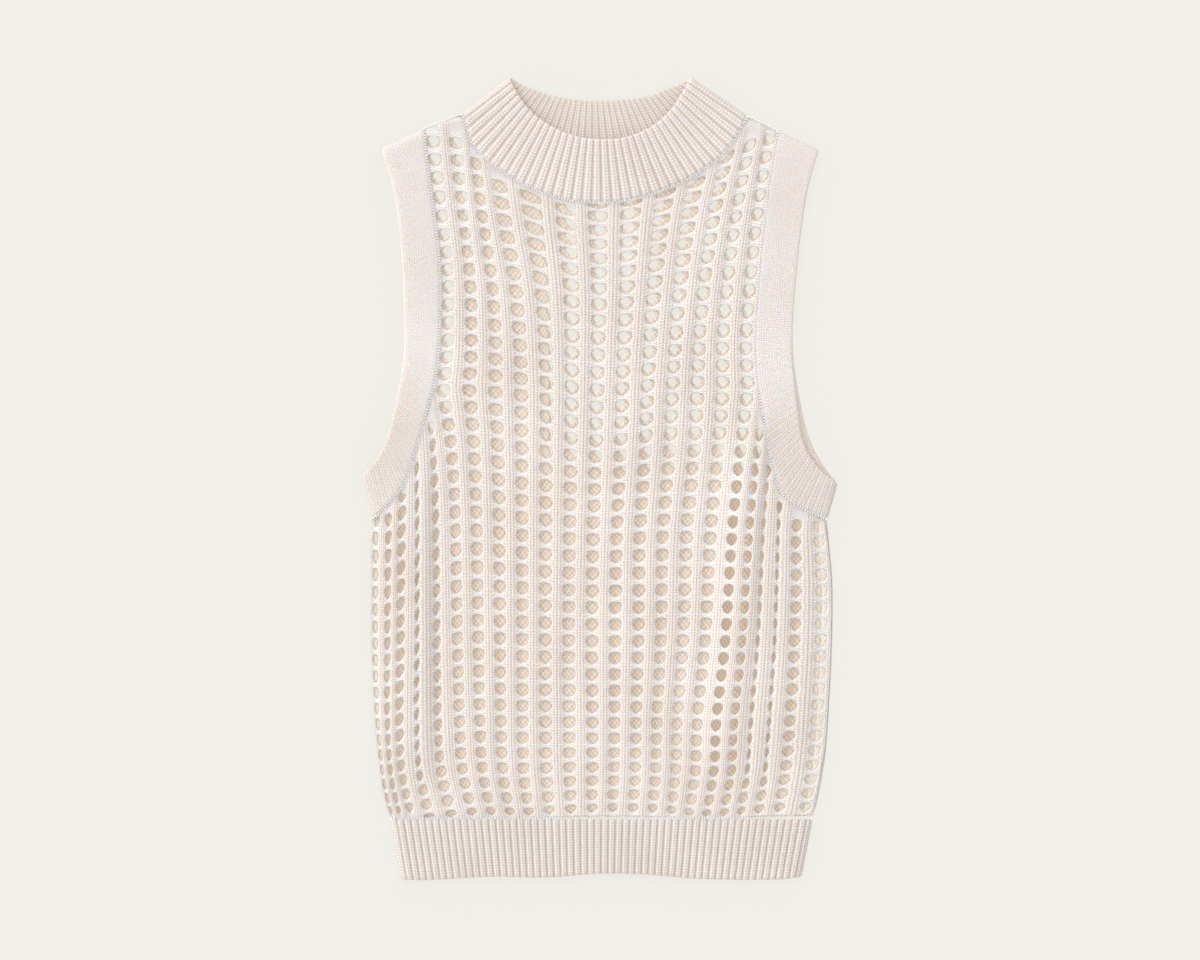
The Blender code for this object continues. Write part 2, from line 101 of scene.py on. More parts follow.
key = add_sun("key_light", KEY_PLACE, KEY_STRENGTH, KEY_COLOUR)
key.data.use_shadow = False
modelling = add_sun("modelling_light", MODELLING_PLACE, MODELLING_STRENGTH, MODELLING_COLOUR)
table_group = bpy.data.collections.new("lit_by_the_key_alone")
table_group.objects.link(floor)
modelling.light_linking.receiver_collection = table_group
table_group.collection_objects[0].light_linking.link_state = "EXCLUDE"

camera_y = -CAMERA_SHIFT_IN_PIXELS * METRES_PER_PIXEL
bpy.ops.object.camera_add(location=(0, camera_y, CAMERA_HEIGHT), rotation=(0, 0, 0))
camera = bpy.context.object
camera.data.sensor_width = CAMERA_SENSOR
camera.data.lens = CAMERA_SENSOR * CAMERA_HEIGHT / (FRAME_WIDTH_IN_PIXELS * METRES_PER_PIXEL)
bpy.context.scene.camera = camera

# Front panel
# The front is one knitted net of cotton: ribs of two wales run up it, and short rungs of two
# strands cross between them, so that a hole is left in every cell. It is linked to the collar, the
# armhole bands and the hem, and at its sides it rolls down to the back.
MM = 0.001
QUARTER_TURN = math.pi / 2
SIDE_SEAM = 2.3
FRONT_TOP = 6.4
SIDE_COLUMN = 11.75
ROLL_COLUMN = 10.25
ARMHOLE_COLUMN = 6.35
ARMHOLE_RIB = 6.5
NECK_COLUMN = 4.74
OPEN_NECK_COLUMN = 4.26
HEM_SEAM_Y = -271.6
STRAIGHT_SIDE_TOP_Y = -48.0
UNDERARM_Y = 73.2
SHOULDER_TURN = 5.0

# Where the side edges lie
SideRow = namedtuple("SideRow", "y left right")
SIDES = (
    SideRow(-271.6, -167.5, 170.0),
    SideRow(-264.0, -171.0, 172.5),
    SideRow(-243.0, -176.0, 177.0),
    SideRow(-216.0, -179.2, 181.0),
    SideRow(-186.0, -182.0, 183.2),
    SideRow(-140.0, -184.0, 185.6),
    SideRow(-87.0, -184.2, 186.2),
    SideRow(-48.0, -184.0, 183.2),
    SideRow(-33.2, -183.4, 181.6),
)

# Where seven of the 23 columns of holes lie across the body
ColumnRow = namedtuple("ColumnRow", "y minus9 minus6 minus3 middle plus3 plus6 plus9")
COLUMNS = (
    ColumnRow(-271.6, -150.4, -100.8, -56.0, -6.4, 41.6, 84.8, 126.0),
    ColumnRow(-233.0, -158.4, -109.6, -60.8, -5.9, 44.8, 91.2, 132.0),
    ColumnRow(-194.0, -160.0, -112.0, -61.8, -5.9, 45.6, 92.8, 135.2),
    ColumnRow(-128.0, -159.2, -113.8, -61.8, -6.4, 48.8, 100.0, 139.6),
    ColumnRow(-44.0, -158.4, -115.2, -62.0, -5.2, 50.4, 105.3, 142.4),
    ColumnRow(26.0, -157.6, -116.8, -62.4, -3.2, 56.0, 111.2, 144.8),
    ColumnRow(90.0, -157.6, -121.0, -63.2, -1.6, 59.2, 115.0, 144.8),
    ColumnRow(151.0, -157.6, -122.0, -65.6, -0.8, 64.0, 118.0, 144.8),
    ColumnRow(213.0, -157.6, -126.0, -72.8, -2.4, 72.0, 126.0, 144.8),
    ColumnRow(272.0, -157.6, -132.0, -76.0, -1.6, 84.8, 134.0, 144.8),
)

# How high the rungs cross seven of the columns, counted from the first one above the hem
RungRow = namedtuple("RungRow", "rung minus10 minus6 minus3 middle plus3 plus6 plus10")
RUNGS = (
    RungRow(-2, -293.0, -285.0, -284.0, -281.0, -282.0, -286.0, -280.0),
    RungRow(0, -271.6, -261.2, -261.2, -258.0, -258.4, -262.8, -257.2),
    RungRow(4, -226.8, -213.2, -213.2, -213.2, -214.0, -215.6, -211.6),
    RungRow(8, -177.2, -161.2, -162.0, -162.8, -162.8, -163.6, -162.0),
    RungRow(13, -111.6, -93.2, -94.0, -96.4, -95.6, -95.6, -96.4),
    RungRow(18, -40.4, -19.6, -24.4, -28.4, -26.0, -27.6, -30.8),
    RungRow(21, 4.0, 22.8, 17.2, 10.8, 14.8, 14.8, 12.0),
    RungRow(24, 48.0, 63.6, 59.6, 50.0, 56.4, 56.4, 54.0),
    RungRow(28, 104.0, 117.2, 113.2, 105.2, 109.2, 110.8, 108.0),
    RungRow(30, 134.0, 146.0, 142.0, 132.4, 138.8, 142.0, 140.0),
    RungRow(33, 176.0, 187.6, 186.0, 170.0, 181.2, 188.4, 186.0),
    RungRow(35, 206.0, 217.2, 213.2, 192.4, 206.0, 218.8, 216.0),
    RungRow(37, 238.0, 247.6, 240.4, 214.8, 230.8, 249.2, 246.0),
    RungRow(39, 268.0, 276.4, 266.0, 236.4, 254.8, 278.8, 276.0),
    RungRow(42, 312.0, 320.0, 306.0, 272.0, 292.0, 322.0, 320.0),
)

# Armhole seams and the top edge of the front, by the column that meets them
SeamPoint = namedtuple("SeamPoint", "column x y")
LEFT_UNDERARM = (
    SeamPoint(-11.75, -183.4, -33.2),
    SeamPoint(-11.0, -178.4, -30.0),
    SeamPoint(-10.0, -169.6, -21.0),
    SeamPoint(-9.0, -156.8, -5.0),
    SeamPoint(-8.0, -147.2, 23.0),
    SeamPoint(-7.0, -136.5, 60.0),
    SeamPoint(-6.35, -132.8, UNDERARM_Y),
)
RIGHT_UNDERARM = (
    SeamPoint(6.35, 125.6, UNDERARM_Y),
    SeamPoint(7.0, 130.0, 55.0),
    SeamPoint(8.0, 135.6, 19.0),
    SeamPoint(9.0, 144.0, -10.0),
    SeamPoint(10.0, 160.0, -22.8),
    SeamPoint(11.0, 174.4, -29.4),
    SeamPoint(11.75, 181.6, -33.2),
)
EdgePoint = namedtuple("EdgePoint", "y left right")
ARMHOLE_SIDES = (
    EdgePoint(73.2, -132.8, 125.6),
    EdgePoint(90.0, -130.0, 124.0),
    EdgePoint(113.0, -128.2, 123.4),
    EdgePoint(167.0, -128.0, 127.2),
    EdgePoint(213.0, -132.8, 132.0),
    EdgePoint(256.0, -138.4, 137.6),
    EdgePoint(280.0, -140.8, 142.4),
)
LEFT_SHOULDER = (SeamPoint(-6.35, -140.8, 279.6), SeamPoint(-NECK_COLUMN, -110.4, 291.6))
FRONT_NECKLINE = (
    SeamPoint(-NECK_COLUMN, -110.4, 291.6),
    SeamPoint(-4.0, -100.8, 266.0),
    SeamPoint(-3.0, -82.4, 248.4),
    SeamPoint(-2.0, -56.0, 232.4),
    SeamPoint(-1.0, -27.2, 222.8),
    SeamPoint(0.0, -1.6, 220.4),
    SeamPoint(1.0, 25.6, 222.8),
    SeamPoint(2.0, 53.6, 231.6),
    SeamPoint(3.0, 78.4, 243.6),
    SeamPoint(4.0, 104.0, 265.0),
    SeamPoint(NECK_COLUMN, 118.4, 289.6),
)
RIGHT_SHOULDER = (SeamPoint(NECK_COLUMN, 118.4, 289.6), SeamPoint(6.35, 142.4, 277.6))

# Largest folds, whose crests run from a low end to a high end
Fold = namedtuple("Fold", "rise y_low y_high fade x_low x_high crest left_flank right_flank")
FOLDS = (
    Fold(5.0, -266.0, 42.0, 76.0, -152.0, -151.0, 8.0, 34.0, 15.0),
    Fold(4.2, -268.0, 66.0, 64.0, 91.0, 125.0, 5.0, 15.0, 15.0),
    Fold(4.6, -264.0, 30.0, 70.0, 114.0, 126.0, 3.0, 40.0, 62.0),
    Fold(-2.6, -262.0, 0.0, 60.0, 190.0, 192.0, 4.0, 40.0, 10.0),
    Fold(1.6, -240.0, 120.0, 90.0, 20.0, 34.0, 6.0, 34.0, 40.0),
)

# Smaller creases, uneven as they lie: a rise above nought is a ridge, below nought a trough
Crease = namedtuple("Crease", "rise x_start y_start x_end y_end width")
CREASES = (
    Crease(1.0, -96.0, -240.0, -70.0, -60.0, 11.0),
    Crease(-0.9, -40.0, -262.0, -24.0, -150.0, 9.0),
    Crease(0.9, 4.0, -250.0, -12.0, -180.0, 8.0),
    Crease(-1.0, 70.0, -255.0, 58.0, -130.0, 9.0),
    Crease(0.8, -118.0, 20.0, -92.0, 150.0, 10.0),
    Crease(0.9, 60.0, 90.0, 96.0, 210.0, 10.0),
    Crease(-0.8, -60.0, 60.0, -40.0, 190.0, 13.0),
    Crease(-0.8, 30.0, -60.0, 66.0, 60.0, 12.0),
    Crease(0.7, -104.0, 200.0, -60.0, 222.0, 9.0),
)


def smooth_value(knots, at):
    """The value at this place of a smooth curve through knots, (place, value) in order of place."""
    at = min(max(at, knots[0][0]), knots[-1][0])
    right = next(k for k in range(1, len(knots)) if at <= knots[k][0])
    left = right - 1

    def slope(k):
        before, after = max(k - 1, 0), min(k + 1, len(knots) - 1)
        return (knots[after][1] - knots[before][1]) / (knots[after][0] - knots[before][0])

    span = knots[right][0] - knots[left][0]
    t = (at - knots[left][0]) / span
    return (
        (2 * t**3 - 3 * t**2 + 1) * knots[left][1]
        + (t**3 - 2 * t**2 + t) * span * slope(left)
        + (3 * t**2 - 2 * t**3) * knots[right][1]
        + (t**3 - t**2) * span * slope(right)
    )


@functools.cache
def knots_of(table, place, value):
    return tuple((getattr(row, place), getattr(row, value)) for row in table)


@functools.cache
def column_of(table, place, value, at):
    """The smooth value of one column of a table, read along another."""
    return smooth_value(knots_of(table, place, value), at)


def ease(share):
    share = min(max(share, 0.0), 1.0)
    return share * share * (3 - 2 * share)


def side_lean(column):
    """How far the cloth has turned up from the side seam: a right angle where it lies flat."""
    past = max(abs(column) - ROLL_COLUMN, 0.0) / (SIDE_COLUMN - ROLL_COLUMN)
    return QUARTER_TURN * (1 - past)


@functools.cache
def body_knots(y):
    names = ("minus9", "minus6", "minus3", "middle", "plus3", "plus6", "plus9")
    inner = [(3 * k - 9, column_of(COLUMNS, "y", name, y)) for k, name in enumerate(names)]
    left = (-SIDE_COLUMN, column_of(SIDES, "y", "left", y))
    right = (SIDE_COLUMN, column_of(SIDES, "y", "right", y))
    return (left, *inner, right)


def lower_place(column, y, rolled=True):
    """Where a column crosses the body at this height, from side edge to side edge."""
    knots = body_knots(y)
    if not rolled or abs(column) <= ROLL_COLUMN:
        return smooth_value(knots, column)
    side, edge = (-1, knots[0][1]) if column < 0 else (1, knots[-1][1])
    roll = side * (edge - smooth_value(knots, side * ROLL_COLUMN))
    return edge - side * roll * (1 - math.cos(side_lean(column)))


def upper_place(column, y):
    """Where a column crosses the chest at this height, from armhole seam to armhole seam."""
    knots = (
        (-ARMHOLE_COLUMN, column_of(ARMHOLE_SIDES, "y", "left", y)),
        (-3, column_of(COLUMNS, "y", "minus3", y)),
        (0, column_of(COLUMNS, "y", "middle", y)),
        (3, column_of(COLUMNS, "y", "plus3", y)),
        (ARMHOLE_COLUMN, column_of(ARMHOLE_SIDES, "y", "right", y)),
    )
    return smooth_value(knots, column)


def seam_place(table, column):
    """The plan point where a column meets a seam."""
    return Vector([column_of(table, "column", axis, column) for axis in "xy"])


@functools.cache
def underarm_end(column):
    """Where a column stops at the armhole seam, or crosses the height of the underarm's end."""
    if abs(column) <= ARMHOLE_COLUMN:
        return Vector((upper_place(column, UNDERARM_Y), UNDERARM_Y))
    return seam_place(LEFT_UNDERARM if column < 0 else RIGHT_UNDERARM, column)


@functools.cache
def top_end(column):
    """Where a column stops at the shoulder seam or the neckline."""
    if abs(column) <= NECK_COLUMN:
        return seam_place(FRONT_NECKLINE, column)
    return seam_place(LEFT_SHOULDER if column < 0 else RIGHT_SHOULDER, column)


def panel_point(column, y, end, rolled=True):
    """The plan point where a column has climbed to this height, on its way to its end."""
    if y <= STRAIGHT_SIDE_TOP_Y:
        return Vector((lower_place(column, y, rolled), y))
    below = underarm_end(column)
    if y <= below.y:
        share = (y - STRAIGHT_SIDE_TOP_Y) / (below.y - STRAIGHT_SIDE_TOP_Y)
        pull = below.x - lower_place(column, below.y, rolled)
        return Vector((lower_place(column, y, rolled) + share**2 * pull, y))
    share = (y - UNDERARM_Y) / (end.y - UNDERARM_Y)
    pull = end.x - upper_place(column, end.y)
    return Vector((upper_place(column, y) + share**2 * pull, y))


def fold_rise(fold, x, y):
    """How far one of the large folds lifts the front at a plan point."""
    ends = ease((y - fold.y_low) / fold.fade) * ease((fold.y_high - y) / fold.fade)
    share = (y - fold.y_low) / (fold.y_high - fold.y_low)
    off = x - (fold.x_low + share * (fold.x_high - fold.x_low))
    flank = fold.left_flank if off < 0 else fold.right_flank
    past = min(max((abs(off) - fold.crest) / flank, 0.0), 1.0)
    return fold.rise * ends * 0.5 * (1 + math.cos(math.pi * past))


def crease_rise(x, y):
    """How far the smaller creases lift the cloth: each fades out round its own line."""
    rise = 0.0
    for crease in CREASES:
        along_x, along_y = crease.x_end - crease.x_start, crease.y_end - crease.y_start
        length = math.hypot(along_x, along_y)
        share = ((x - crease.x_start) * along_x + (y - crease.y_start) * along_y) / length**2
        off = ((x - crease.x_start) * along_y - (y - crease.y_start) * along_x) / length
        past = max(-share, share - 1.0, 0.0) * length
        fall = (off / crease.width) ** 2 + (past / (2 * crease.width)) ** 2
        rise += crease.rise * math.exp(-fall)
    return rise


def front_height(x, y):
    """The height of the front layer's upper face, away from its edges."""
    return FRONT_TOP + sum(fold_rise(fold, x, y) for fold in FOLDS) + crease_rise(x, y)


def rung_height(column, rung):
    """How high up the body a rung crosses a column."""
    names = ("minus10", "minus6", "minus3", "middle", "plus3", "plus6", "plus10")
    places = (-10, -6, -3, 0, 3, 6, 10)
    knots = [(at, column_of(RUNGS, "rung", name, rung)) for at, name in zip(places, names)]
    return smooth_value(knots, column)


def settled(distance, reach):
    """A distance left to a seam, eased so that the last cells close up and lean along it."""
    if distance >= reach:
        return distance
    return max(distance + reach, 0.0) ** 2 / (4 * reach)


# Cells of a net: a column of holes is a whole number, and so is a rung
Net = namedtuple("Net", "hole_half_width rung_half_height wall squeeze lag end_of")
RIB_CREST_HALF_WIDTH = 0.08
RUNG_SAG = 0.07
CUP_IN = 0.12
CUP_UP = 0.17
BROW_IN = 0.10
BROW_DOWN = 0.13
LAST_CUP_IN = 0.13
LAST_CUP_UP = 0.2
LAST_REACH = 7.0
SHOULDER_TIGHT = 0.05
UNEVEN = 0.022
Squeeze = namedtuple("Squeeze", "column share y_low y_high")
SQUEEZES = (
    Squeeze(-8, 0.55, -262.0, 44.0),
    Squeeze(-7, 0.35, -250.0, 66.0),
    Squeeze(8, 0.55, -262.0, 26.0),
    Squeeze(9, 0.65, -262.0, 0.0),
)
RUNG_SINK = 0.7
RIB_RISE = 0.8
RIB_GROOVE = 0.25
SEAM_REACH = 8.0
HEM_REACH = 5.0
RIB_SLOPE = 0.12
ROWS_TO_A_RUNG = 3
LAST_HOLE = 11
LAST_RUNG = 41
OPEN_AT_LEAST = 3.4
ROW_AT_LEAST = 0.05
RUNG_AT_LEAST = 0.25
YOKE_COLUMN = 5
YOKE_DEEP = 7.0
YOKE_LOW_Y = 150.0
YOKE_FADE = 60.0
YOKE_FROM_COLUMN = 3.5
YOKE_COLUMN_FADE = 1.5
SQUEEZE_FADE = 40.0
NET_SETTLE = 0.9
SAME_PLACE = 0.02
SAME_CROSSING = 0.001
SMALL_STEP = 0.05


def net_columns(net):
    """The places across of the net's grid lines, four to a rib and one down each hole's middle."""
    foot = 0.5 - net.hole_half_width
    offsets = (-foot, -RIB_CREST_HALF_WIDTH, RIB_CREST_HALF_WIDTH, foot)
    ribs = range(-LAST_HOLE - 1, LAST_HOLE + 1)
    places = [number + 0.5 + offset for number in ribs for offset in offsets]
    places += list(range(-LAST_HOLE, LAST_HOLE + 1))
    places = sorted(round(place, 3) for place in places)
    places[0], places[-1] = -SIDE_COLUMN, SIDE_COLUMN
    moved = {round(ARMHOLE_RIB - RIB_CREST_HALF_WIDTH, 3): ARMHOLE_COLUMN}
    return [math.copysign(moved.get(abs(place), abs(place)), place) for place in places]


def net_rows(net):
    """The places up of the grid lines: the two edges of each rung and the middle of each hole."""
    places = []
    for rung in range(-1, LAST_RUNG + 1):
        places += [rung - net.rung_half_height, rung + net.rung_half_height, rung + 0.5]
    return places


def uneven(column, row, seed):
    """A small repeatable share from -1 to 1 that differs from one crossing to the next."""
    swing = math.sin(12.9898 * column + 78.233 * row + seed)
    return swing * math.cos(4.1 * column * row + 2.7 * seed)


def squeezed(column, y):
    """How far the holes of a column close up sideways, where a fold's flank narrows them."""
    share = 0.0
    for squeeze in SQUEEZES:
        if squeeze.column == column:
            above, below = (y - squeeze.y_low) / SQUEEZE_FADE, (squeeze.y_high - y) / SQUEEZE_FADE
            share += squeeze.share * ease(above) * ease(below)
    return share


def cell_shift(net, column, row):
    """How a grid crossing moves, so that a hole is a cup: rounder below, on a slack rung."""
    hole = round(column)
    off, rung = column - hole, round(row)
    on_rung = abs(abs(row - rung) - net.rung_half_height) < SAME_CROSSING
    if abs(off) > net.hole_half_width + SAME_CROSSING:
        return 0.0, 0.0
    across, up = UNEVEN * uneven(column, row, 0.0), UNEVEN * uneven(column, row, 1.0)
    across -= off * squeezed(hole, rung_height(column, row)) * net.squeeze
    if not on_rung:
        return across, up
    y = rung_height(column, rung)
    last = ease(1 - (y - HEM_SEAM_Y) / LAST_REACH)
    beside_neck = ease((abs(hole) - YOKE_FROM_COLUMN) / YOKE_COLUMN_FADE)
    tight = SHOULDER_TIGHT * ease((y - YOKE_LOW_Y) / YOKE_FADE) * beside_neck
    up += tight if row > rung else -tight
    if abs(off) < SAME_CROSSING:
        return across, up - (RUNG_SAG if row > rung else 0.5 * RUNG_SAG) * (1 - last)
    across -= math.copysign(tight, off)
    if row > rung:
        inward, rise = CUP_IN + LAST_CUP_IN * last, CUP_UP + LAST_CUP_UP * last
        return across - math.copysign(inward, off), up + rise
    return across - math.copysign(BROW_IN, off), up - BROW_DOWN


def rib_share(net, column):
    """1 along a rib's crest and 0 from its foot to the next rib."""
    off = abs(column - (math.floor(column) + 0.5))
    return ease((0.5 - net.hole_half_width - off) / RIB_SLOPE)


def knit_grid(name, columns, rows, place, kept):
    """A flat grid of quads laid into its shape. Its UV map counts columns across and rows up."""
    across, up = len(columns) - 1, len(rows) - 1
    bpy.ops.mesh.primitive_grid_add(x_subdivisions=across, y_subdivisions=up, size=2)
    sheet = bpy.context.object
    sheet.name = sheet.data.name = name
    mesh = bmesh.new()
    mesh.from_mesh(sheet.data)
    uv = mesh.loops.layers.uv.verify()
    crossing = {}
    for vertex in mesh.verts:
        i = round((vertex.co.x + 1) / 2 * across)
        j = round((vertex.co.y + 1) / 2 * up)
        crossing[vertex] = (i, j)
    unwanted = []
    for face in mesh.faces:
        corners = [crossing[vertex] for vertex in face.verts]
        i, j = min(corner[0] for corner in corners), min(corner[1] for corner in corners)
        if not kept(i, j):
            unwanted.append(face)
        for loop in face.loops:
            column, row = crossing[loop.vert]
            loop[uv].uv = (columns[column], rows[row])
    for vertex, (i, j) in crossing.items():
        vertex.co = place(columns[i], rows[j]) * MM
    bmesh.ops.delete(mesh, geom=unwanted, context="FACES")
    bmesh.ops.remove_doubles(mesh, verts=mesh.verts, dist=SAME_PLACE * MM)
    bmesh.ops.dissolve_degenerate(mesh, edges=mesh.edges, dist=SAME_PLACE * MM)
    mesh.to_mesh(sheet.data)
    mesh.free()
    return sheet


def thicken(sheet, wall):
    """Gives a sheet its wall on the inner side, whose faces take the second material."""
    bpy.ops.object.select_all(action="DESELECT")
    sheet.select_set(True)
    bpy.context.view_layer.objects.active = sheet
    solid = sheet.modifiers.new("wall", "SOLIDIFY")
    solid.thickness = wall * MM
    solid.offset = -1.0
    solid.use_even_offset = False
    solid.material_offset = 1
    bpy.ops.object.modifier_apply(modifier=solid.name)
    soft = sheet.modifiers.new("round", "SUBSURF")
    soft.levels = soft.render_levels = 1
    bpy.ops.object.modifier_apply(modifier=soft.name)
    bpy.ops.object.shade_smooth()


def sink_grooves(sheet, depth, groove_share):
    """Presses the fine groove between two wales into the outer face, by each point's own UV."""
    mesh = bmesh.new()
    mesh.from_mesh(sheet.data)
    uv = mesh.loops.layers.uv.verify()
    for vertex in mesh.verts:
        if vertex.link_loops:
            share = groove_share(*vertex.link_loops[0][uv].uv)
            vertex.co -= vertex.normal * depth * MM * share
    mesh.to_mesh(sheet.data)
    mesh.free()


def front_end(column):
    return underarm_end(column) if abs(column) > ARMHOLE_COLUMN else top_end(column)


def net_height_up(net, column, row, end):
    """How high a crossing of the net lies, eased where the net nears its hem or its far end."""
    y = rung_height(column, row + net.lag(row))
    y = end.y - settled(end.y - y, SEAM_REACH)
    return HEM_SEAM_Y + settled(y - HEM_SEAM_Y, HEM_REACH)


def net_keeps(net, columns, rows):
    """A test of whether a grid cell is cloth: not a hole, and not past the seams."""
    @functools.cache
    def height(i, j):
        return net_height_up(net, columns[i], rows[j], net.end_of(columns[i]))

    def kept(i, j):
        middle = (columns[i] + columns[i + 1]) / 2
        hole = round(middle)
        rises = [height(k, j + 1) - height(k, j) for k in (i, i + 1)]
        if max(rises) < ROW_AT_LEAST:
            return False
        in_hole = abs(middle - hole) < net.hole_half_width and j % ROWS_TO_A_RUNG != 0
        if not in_hole or abs(hole) > LAST_HOLE:
            return True
        low = j if j % ROWS_TO_A_RUNG == 1 else j - 1
        if low + 2 >= len(rows):
            return True
        if abs(hole) == YOKE_COLUMN and net.end_of(hole).y - height(i, low + 2) < YOKE_DEEP:
            return True
        k, top = columns.index(hole), min(low + 3, len(rows) - 1)
        hole_rises = [height(at, low + 2) - height(at, low) for at in (k - 1, k, k + 1)]
        rung_rises = [height(at, top) - height(at, low + 2) for at in (k - 1, k, k + 1)]
        return min(hole_rises) < OPEN_AT_LEAST or min(rung_rises) < RUNG_AT_LEAST

    return kept


def make_net(net, name, place):
    """A net laid into its shape, before it has a wall."""
    columns, rows = net_columns(net), net_rows(net)
    return knit_grid(name, columns, rows, place, net_keeps(net, columns, rows))


FRONT_NET = Net(
    hole_half_width=0.30, rung_half_height=0.095, wall=1.6, squeeze=1.0,
    lag=lambda row: 0.0, end_of=front_end,
)


def front_point(column, row):
    """A crossing of the front net: its outer face, with ribs raised and rungs let down."""
    end = front_end(column)
    across, up = cell_shift(FRONT_NET, column, row)
    y = net_height_up(FRONT_NET, column, row + up, end)
    place = panel_point(column, y, end)
    beside = panel_point(column + math.copysign(SMALL_STEP, across), y, end) if across else place
    place = place + (beside - place) * abs(across) / SMALL_STEP
    side, lean = math.copysign(1, column), side_lean(column)
    level = SIDE_SEAM + (front_height(place.x, place.y) - SIDE_SEAM) * math.sin(lean)
    if OPEN_NECK_COLUMN < abs(column) <= ARMHOLE_COLUMN and end.y - y < SHOULDER_TURN:
        turn = math.sqrt(max(1 - (1 - (end.y - y) / SHOULDER_TURN) ** 2, 0.0))
        closing = ease((abs(column) - OPEN_NECK_COLUMN) / (NECK_COLUMN - OPEN_NECK_COLUMN))
        level = SIDE_SEAM + (level - SIDE_SEAM) * (1 - closing * (1 - turn))
    rib = rib_share(FRONT_NET, column)
    relief = rib * RIB_RISE - (1 - rib) * RUNG_SINK * 0.5 - NET_SETTLE
    outward, upward = side * relief * math.cos(lean), relief * math.sin(lean)
    return Vector((place.x + outward, place.y, level + upward))


def calculate(tree, operation, *values):
    """A math node on sockets or plain numbers."""
    node = tree.nodes.new("ShaderNodeMath")
    node.operation = operation
    for socket, value in zip(node.inputs, values):
        if isinstance(value, bpy.types.NodeSocket):
            tree.links.new(value, socket)
        else:
            socket.default_value = value
    return node.outputs[0]


def plus(tree, first, second):
    return calculate(tree, "ADD", first, second)


def minus(tree, first, second):
    return calculate(tree, "SUBTRACT", first, second)


def times(tree, first, second):
    return calculate(tree, "MULTIPLY", first, second)


def between(tree, share, low, high):
    """A number that goes from low to high as a share goes from 0 to 1."""
    return plus(tree, low, times(tree, share, high - low))


def clamped(tree, value):
    """A number held between 0 and 1."""
    return calculate(tree, "MINIMUM", calculate(tree, "MAXIMUM", value, 0.0), 1.0)


def ramp(tree, value, start, width):
    """0 up to a start, 1 from there a width on, and straight between them."""
    return clamped(tree, times(tree, minus(tree, value, start), 1 / width))


def cosine_wave(tree, turns):
    """A wave from -1 to 1 and back that starts again with every whole turn."""
    return calculate(tree, "COSINE", times(tree, turns, 2 * math.pi))


def off_middle(tree, share):
    """How far a share from 0 to 1 lies from a half, on either side."""
    return calculate(tree, "ABSOLUTE", minus(tree, share, 0.5))


def mixed(tree, share, first, second):
    """One socket where the share is 0, the other where it is 1."""
    return plus(tree, times(tree, first, minus(tree, 1.0, share)), times(tree, second, share))


def noise(tree, place, scale, detail):
    """A soft uneven share from 0 to 1 through the object."""
    node = tree.nodes.new("ShaderNodeTexNoise")
    node.inputs["Scale"].default_value = scale
    node.inputs["Detail"].default_value = detail
    tree.links.new(place, node.inputs["Vector"])
    return node.outputs["Fac"]


LEG_FULLNESS = 0.7
V_DROP = 0.55
STITCH_RELIEF = (0.6, 0.95)
FIBRE_SCALE, FIBRE_DETAIL, FIBRE_RELIEF = 1900.0, 2.0, 0.35
PATCH_SCALE, PATCH_DETAIL, PATCH_TONE = 16.0, 3.0, 0.4
# The relief paints shade into the yarn's colour: painted shade in the hollows between stitches.
PAINTED_SHADE_OF_RELIEF = (-0.05, 1.15)
BUMP_STRENGTH = 0.8
COTTON_FINISH = {
    "Roughness": 0.88,
    "Specular IOR Level": 0.25,
    "Subsurface Weight": 0.8,
    "Subsurface Radius": (1.0, 0.8, 0.6),
    "Subsurface Scale": 0.003,
    "Sheen Weight": 0.18,
    "Sheen Roughness": 0.5,
}


def stitch_relief(tree, wale, course):
    """V stitches up a wale. The wale counts stitches across, the course counts them up."""
    out = times(tree, off_middle(tree, calculate(tree, "FRACT", wale)), 2.0)
    off_leg = minus(tree, times(tree, out, 2.0), 1.0)
    leg = minus(tree, 1.0, calculate(tree, "ABSOLUTE", off_leg))
    leg = calculate(tree, "POWER", calculate(tree, "MAXIMUM", leg, 0.0), LEG_FULLNESS)
    turn = minus(tree, course, times(tree, out, V_DROP))
    return times(tree, leg, between(tree, cosine_wave(tree, turn), *STITCH_RELIEF))


def cotton(name, light, painted_shade, pattern, depth):
    """A cotton yarn finish: a pattern gives its relief, and the same pattern paints shade between
    stitches as darker colour.
    """
    material = bpy.data.materials.new(name)
    material.use_nodes = True
    tree = material.node_tree
    shader = tree.nodes["Principled BSDF"]
    uv = tree.nodes.new("ShaderNodeUVMap")
    uv.uv_map = "UVMap"
    split = tree.nodes.new("ShaderNodeSeparateXYZ")
    tree.links.new(uv.outputs["UV"], split.inputs[0])
    place = tree.nodes.new("ShaderNodeTexCoord").outputs["Object"]
    relief = pattern(tree, split.outputs["X"], split.outputs["Y"], place)
    fibre = noise(tree, place, FIBRE_SCALE, FIBRE_DETAIL)
    patch = noise(tree, place, PATCH_SCALE, PATCH_DETAIL)
    fuzzy = plus(tree, relief, times(tree, fibre, FIBRE_RELIEF))
    patchy = times(tree, minus(tree, patch, 0.5), PATCH_TONE)
    # Painted shade from the relief, with random patches of tone on top.
    painted_shade_and_patches = plus(tree, between(tree, relief, *PAINTED_SHADE_OF_RELIEF), patchy)
    colour = tree.nodes.new("ShaderNodeMix")
    colour.data_type = "RGBA"
    colour.inputs["A"].default_value = (*painted_shade, 1)
    colour.inputs["B"].default_value = (*light, 1)
    tree.links.new(clamped(tree, painted_shade_and_patches), colour.inputs["Factor"])
    tree.links.new(colour.outputs["Result"], shader.inputs["Base Color"])
    bump = tree.nodes.new("ShaderNodeBump")
    bump.inputs["Strength"].default_value = BUMP_STRENGTH
    bump.inputs["Distance"].default_value = depth * MM
    tree.links.new(fuzzy, bump.inputs["Height"])
    tree.links.new(bump.outputs["Normal"], shader.inputs["Normal"])
    for socket, value in COTTON_FINISH.items():
        shader.inputs[socket].default_value = value
    return material
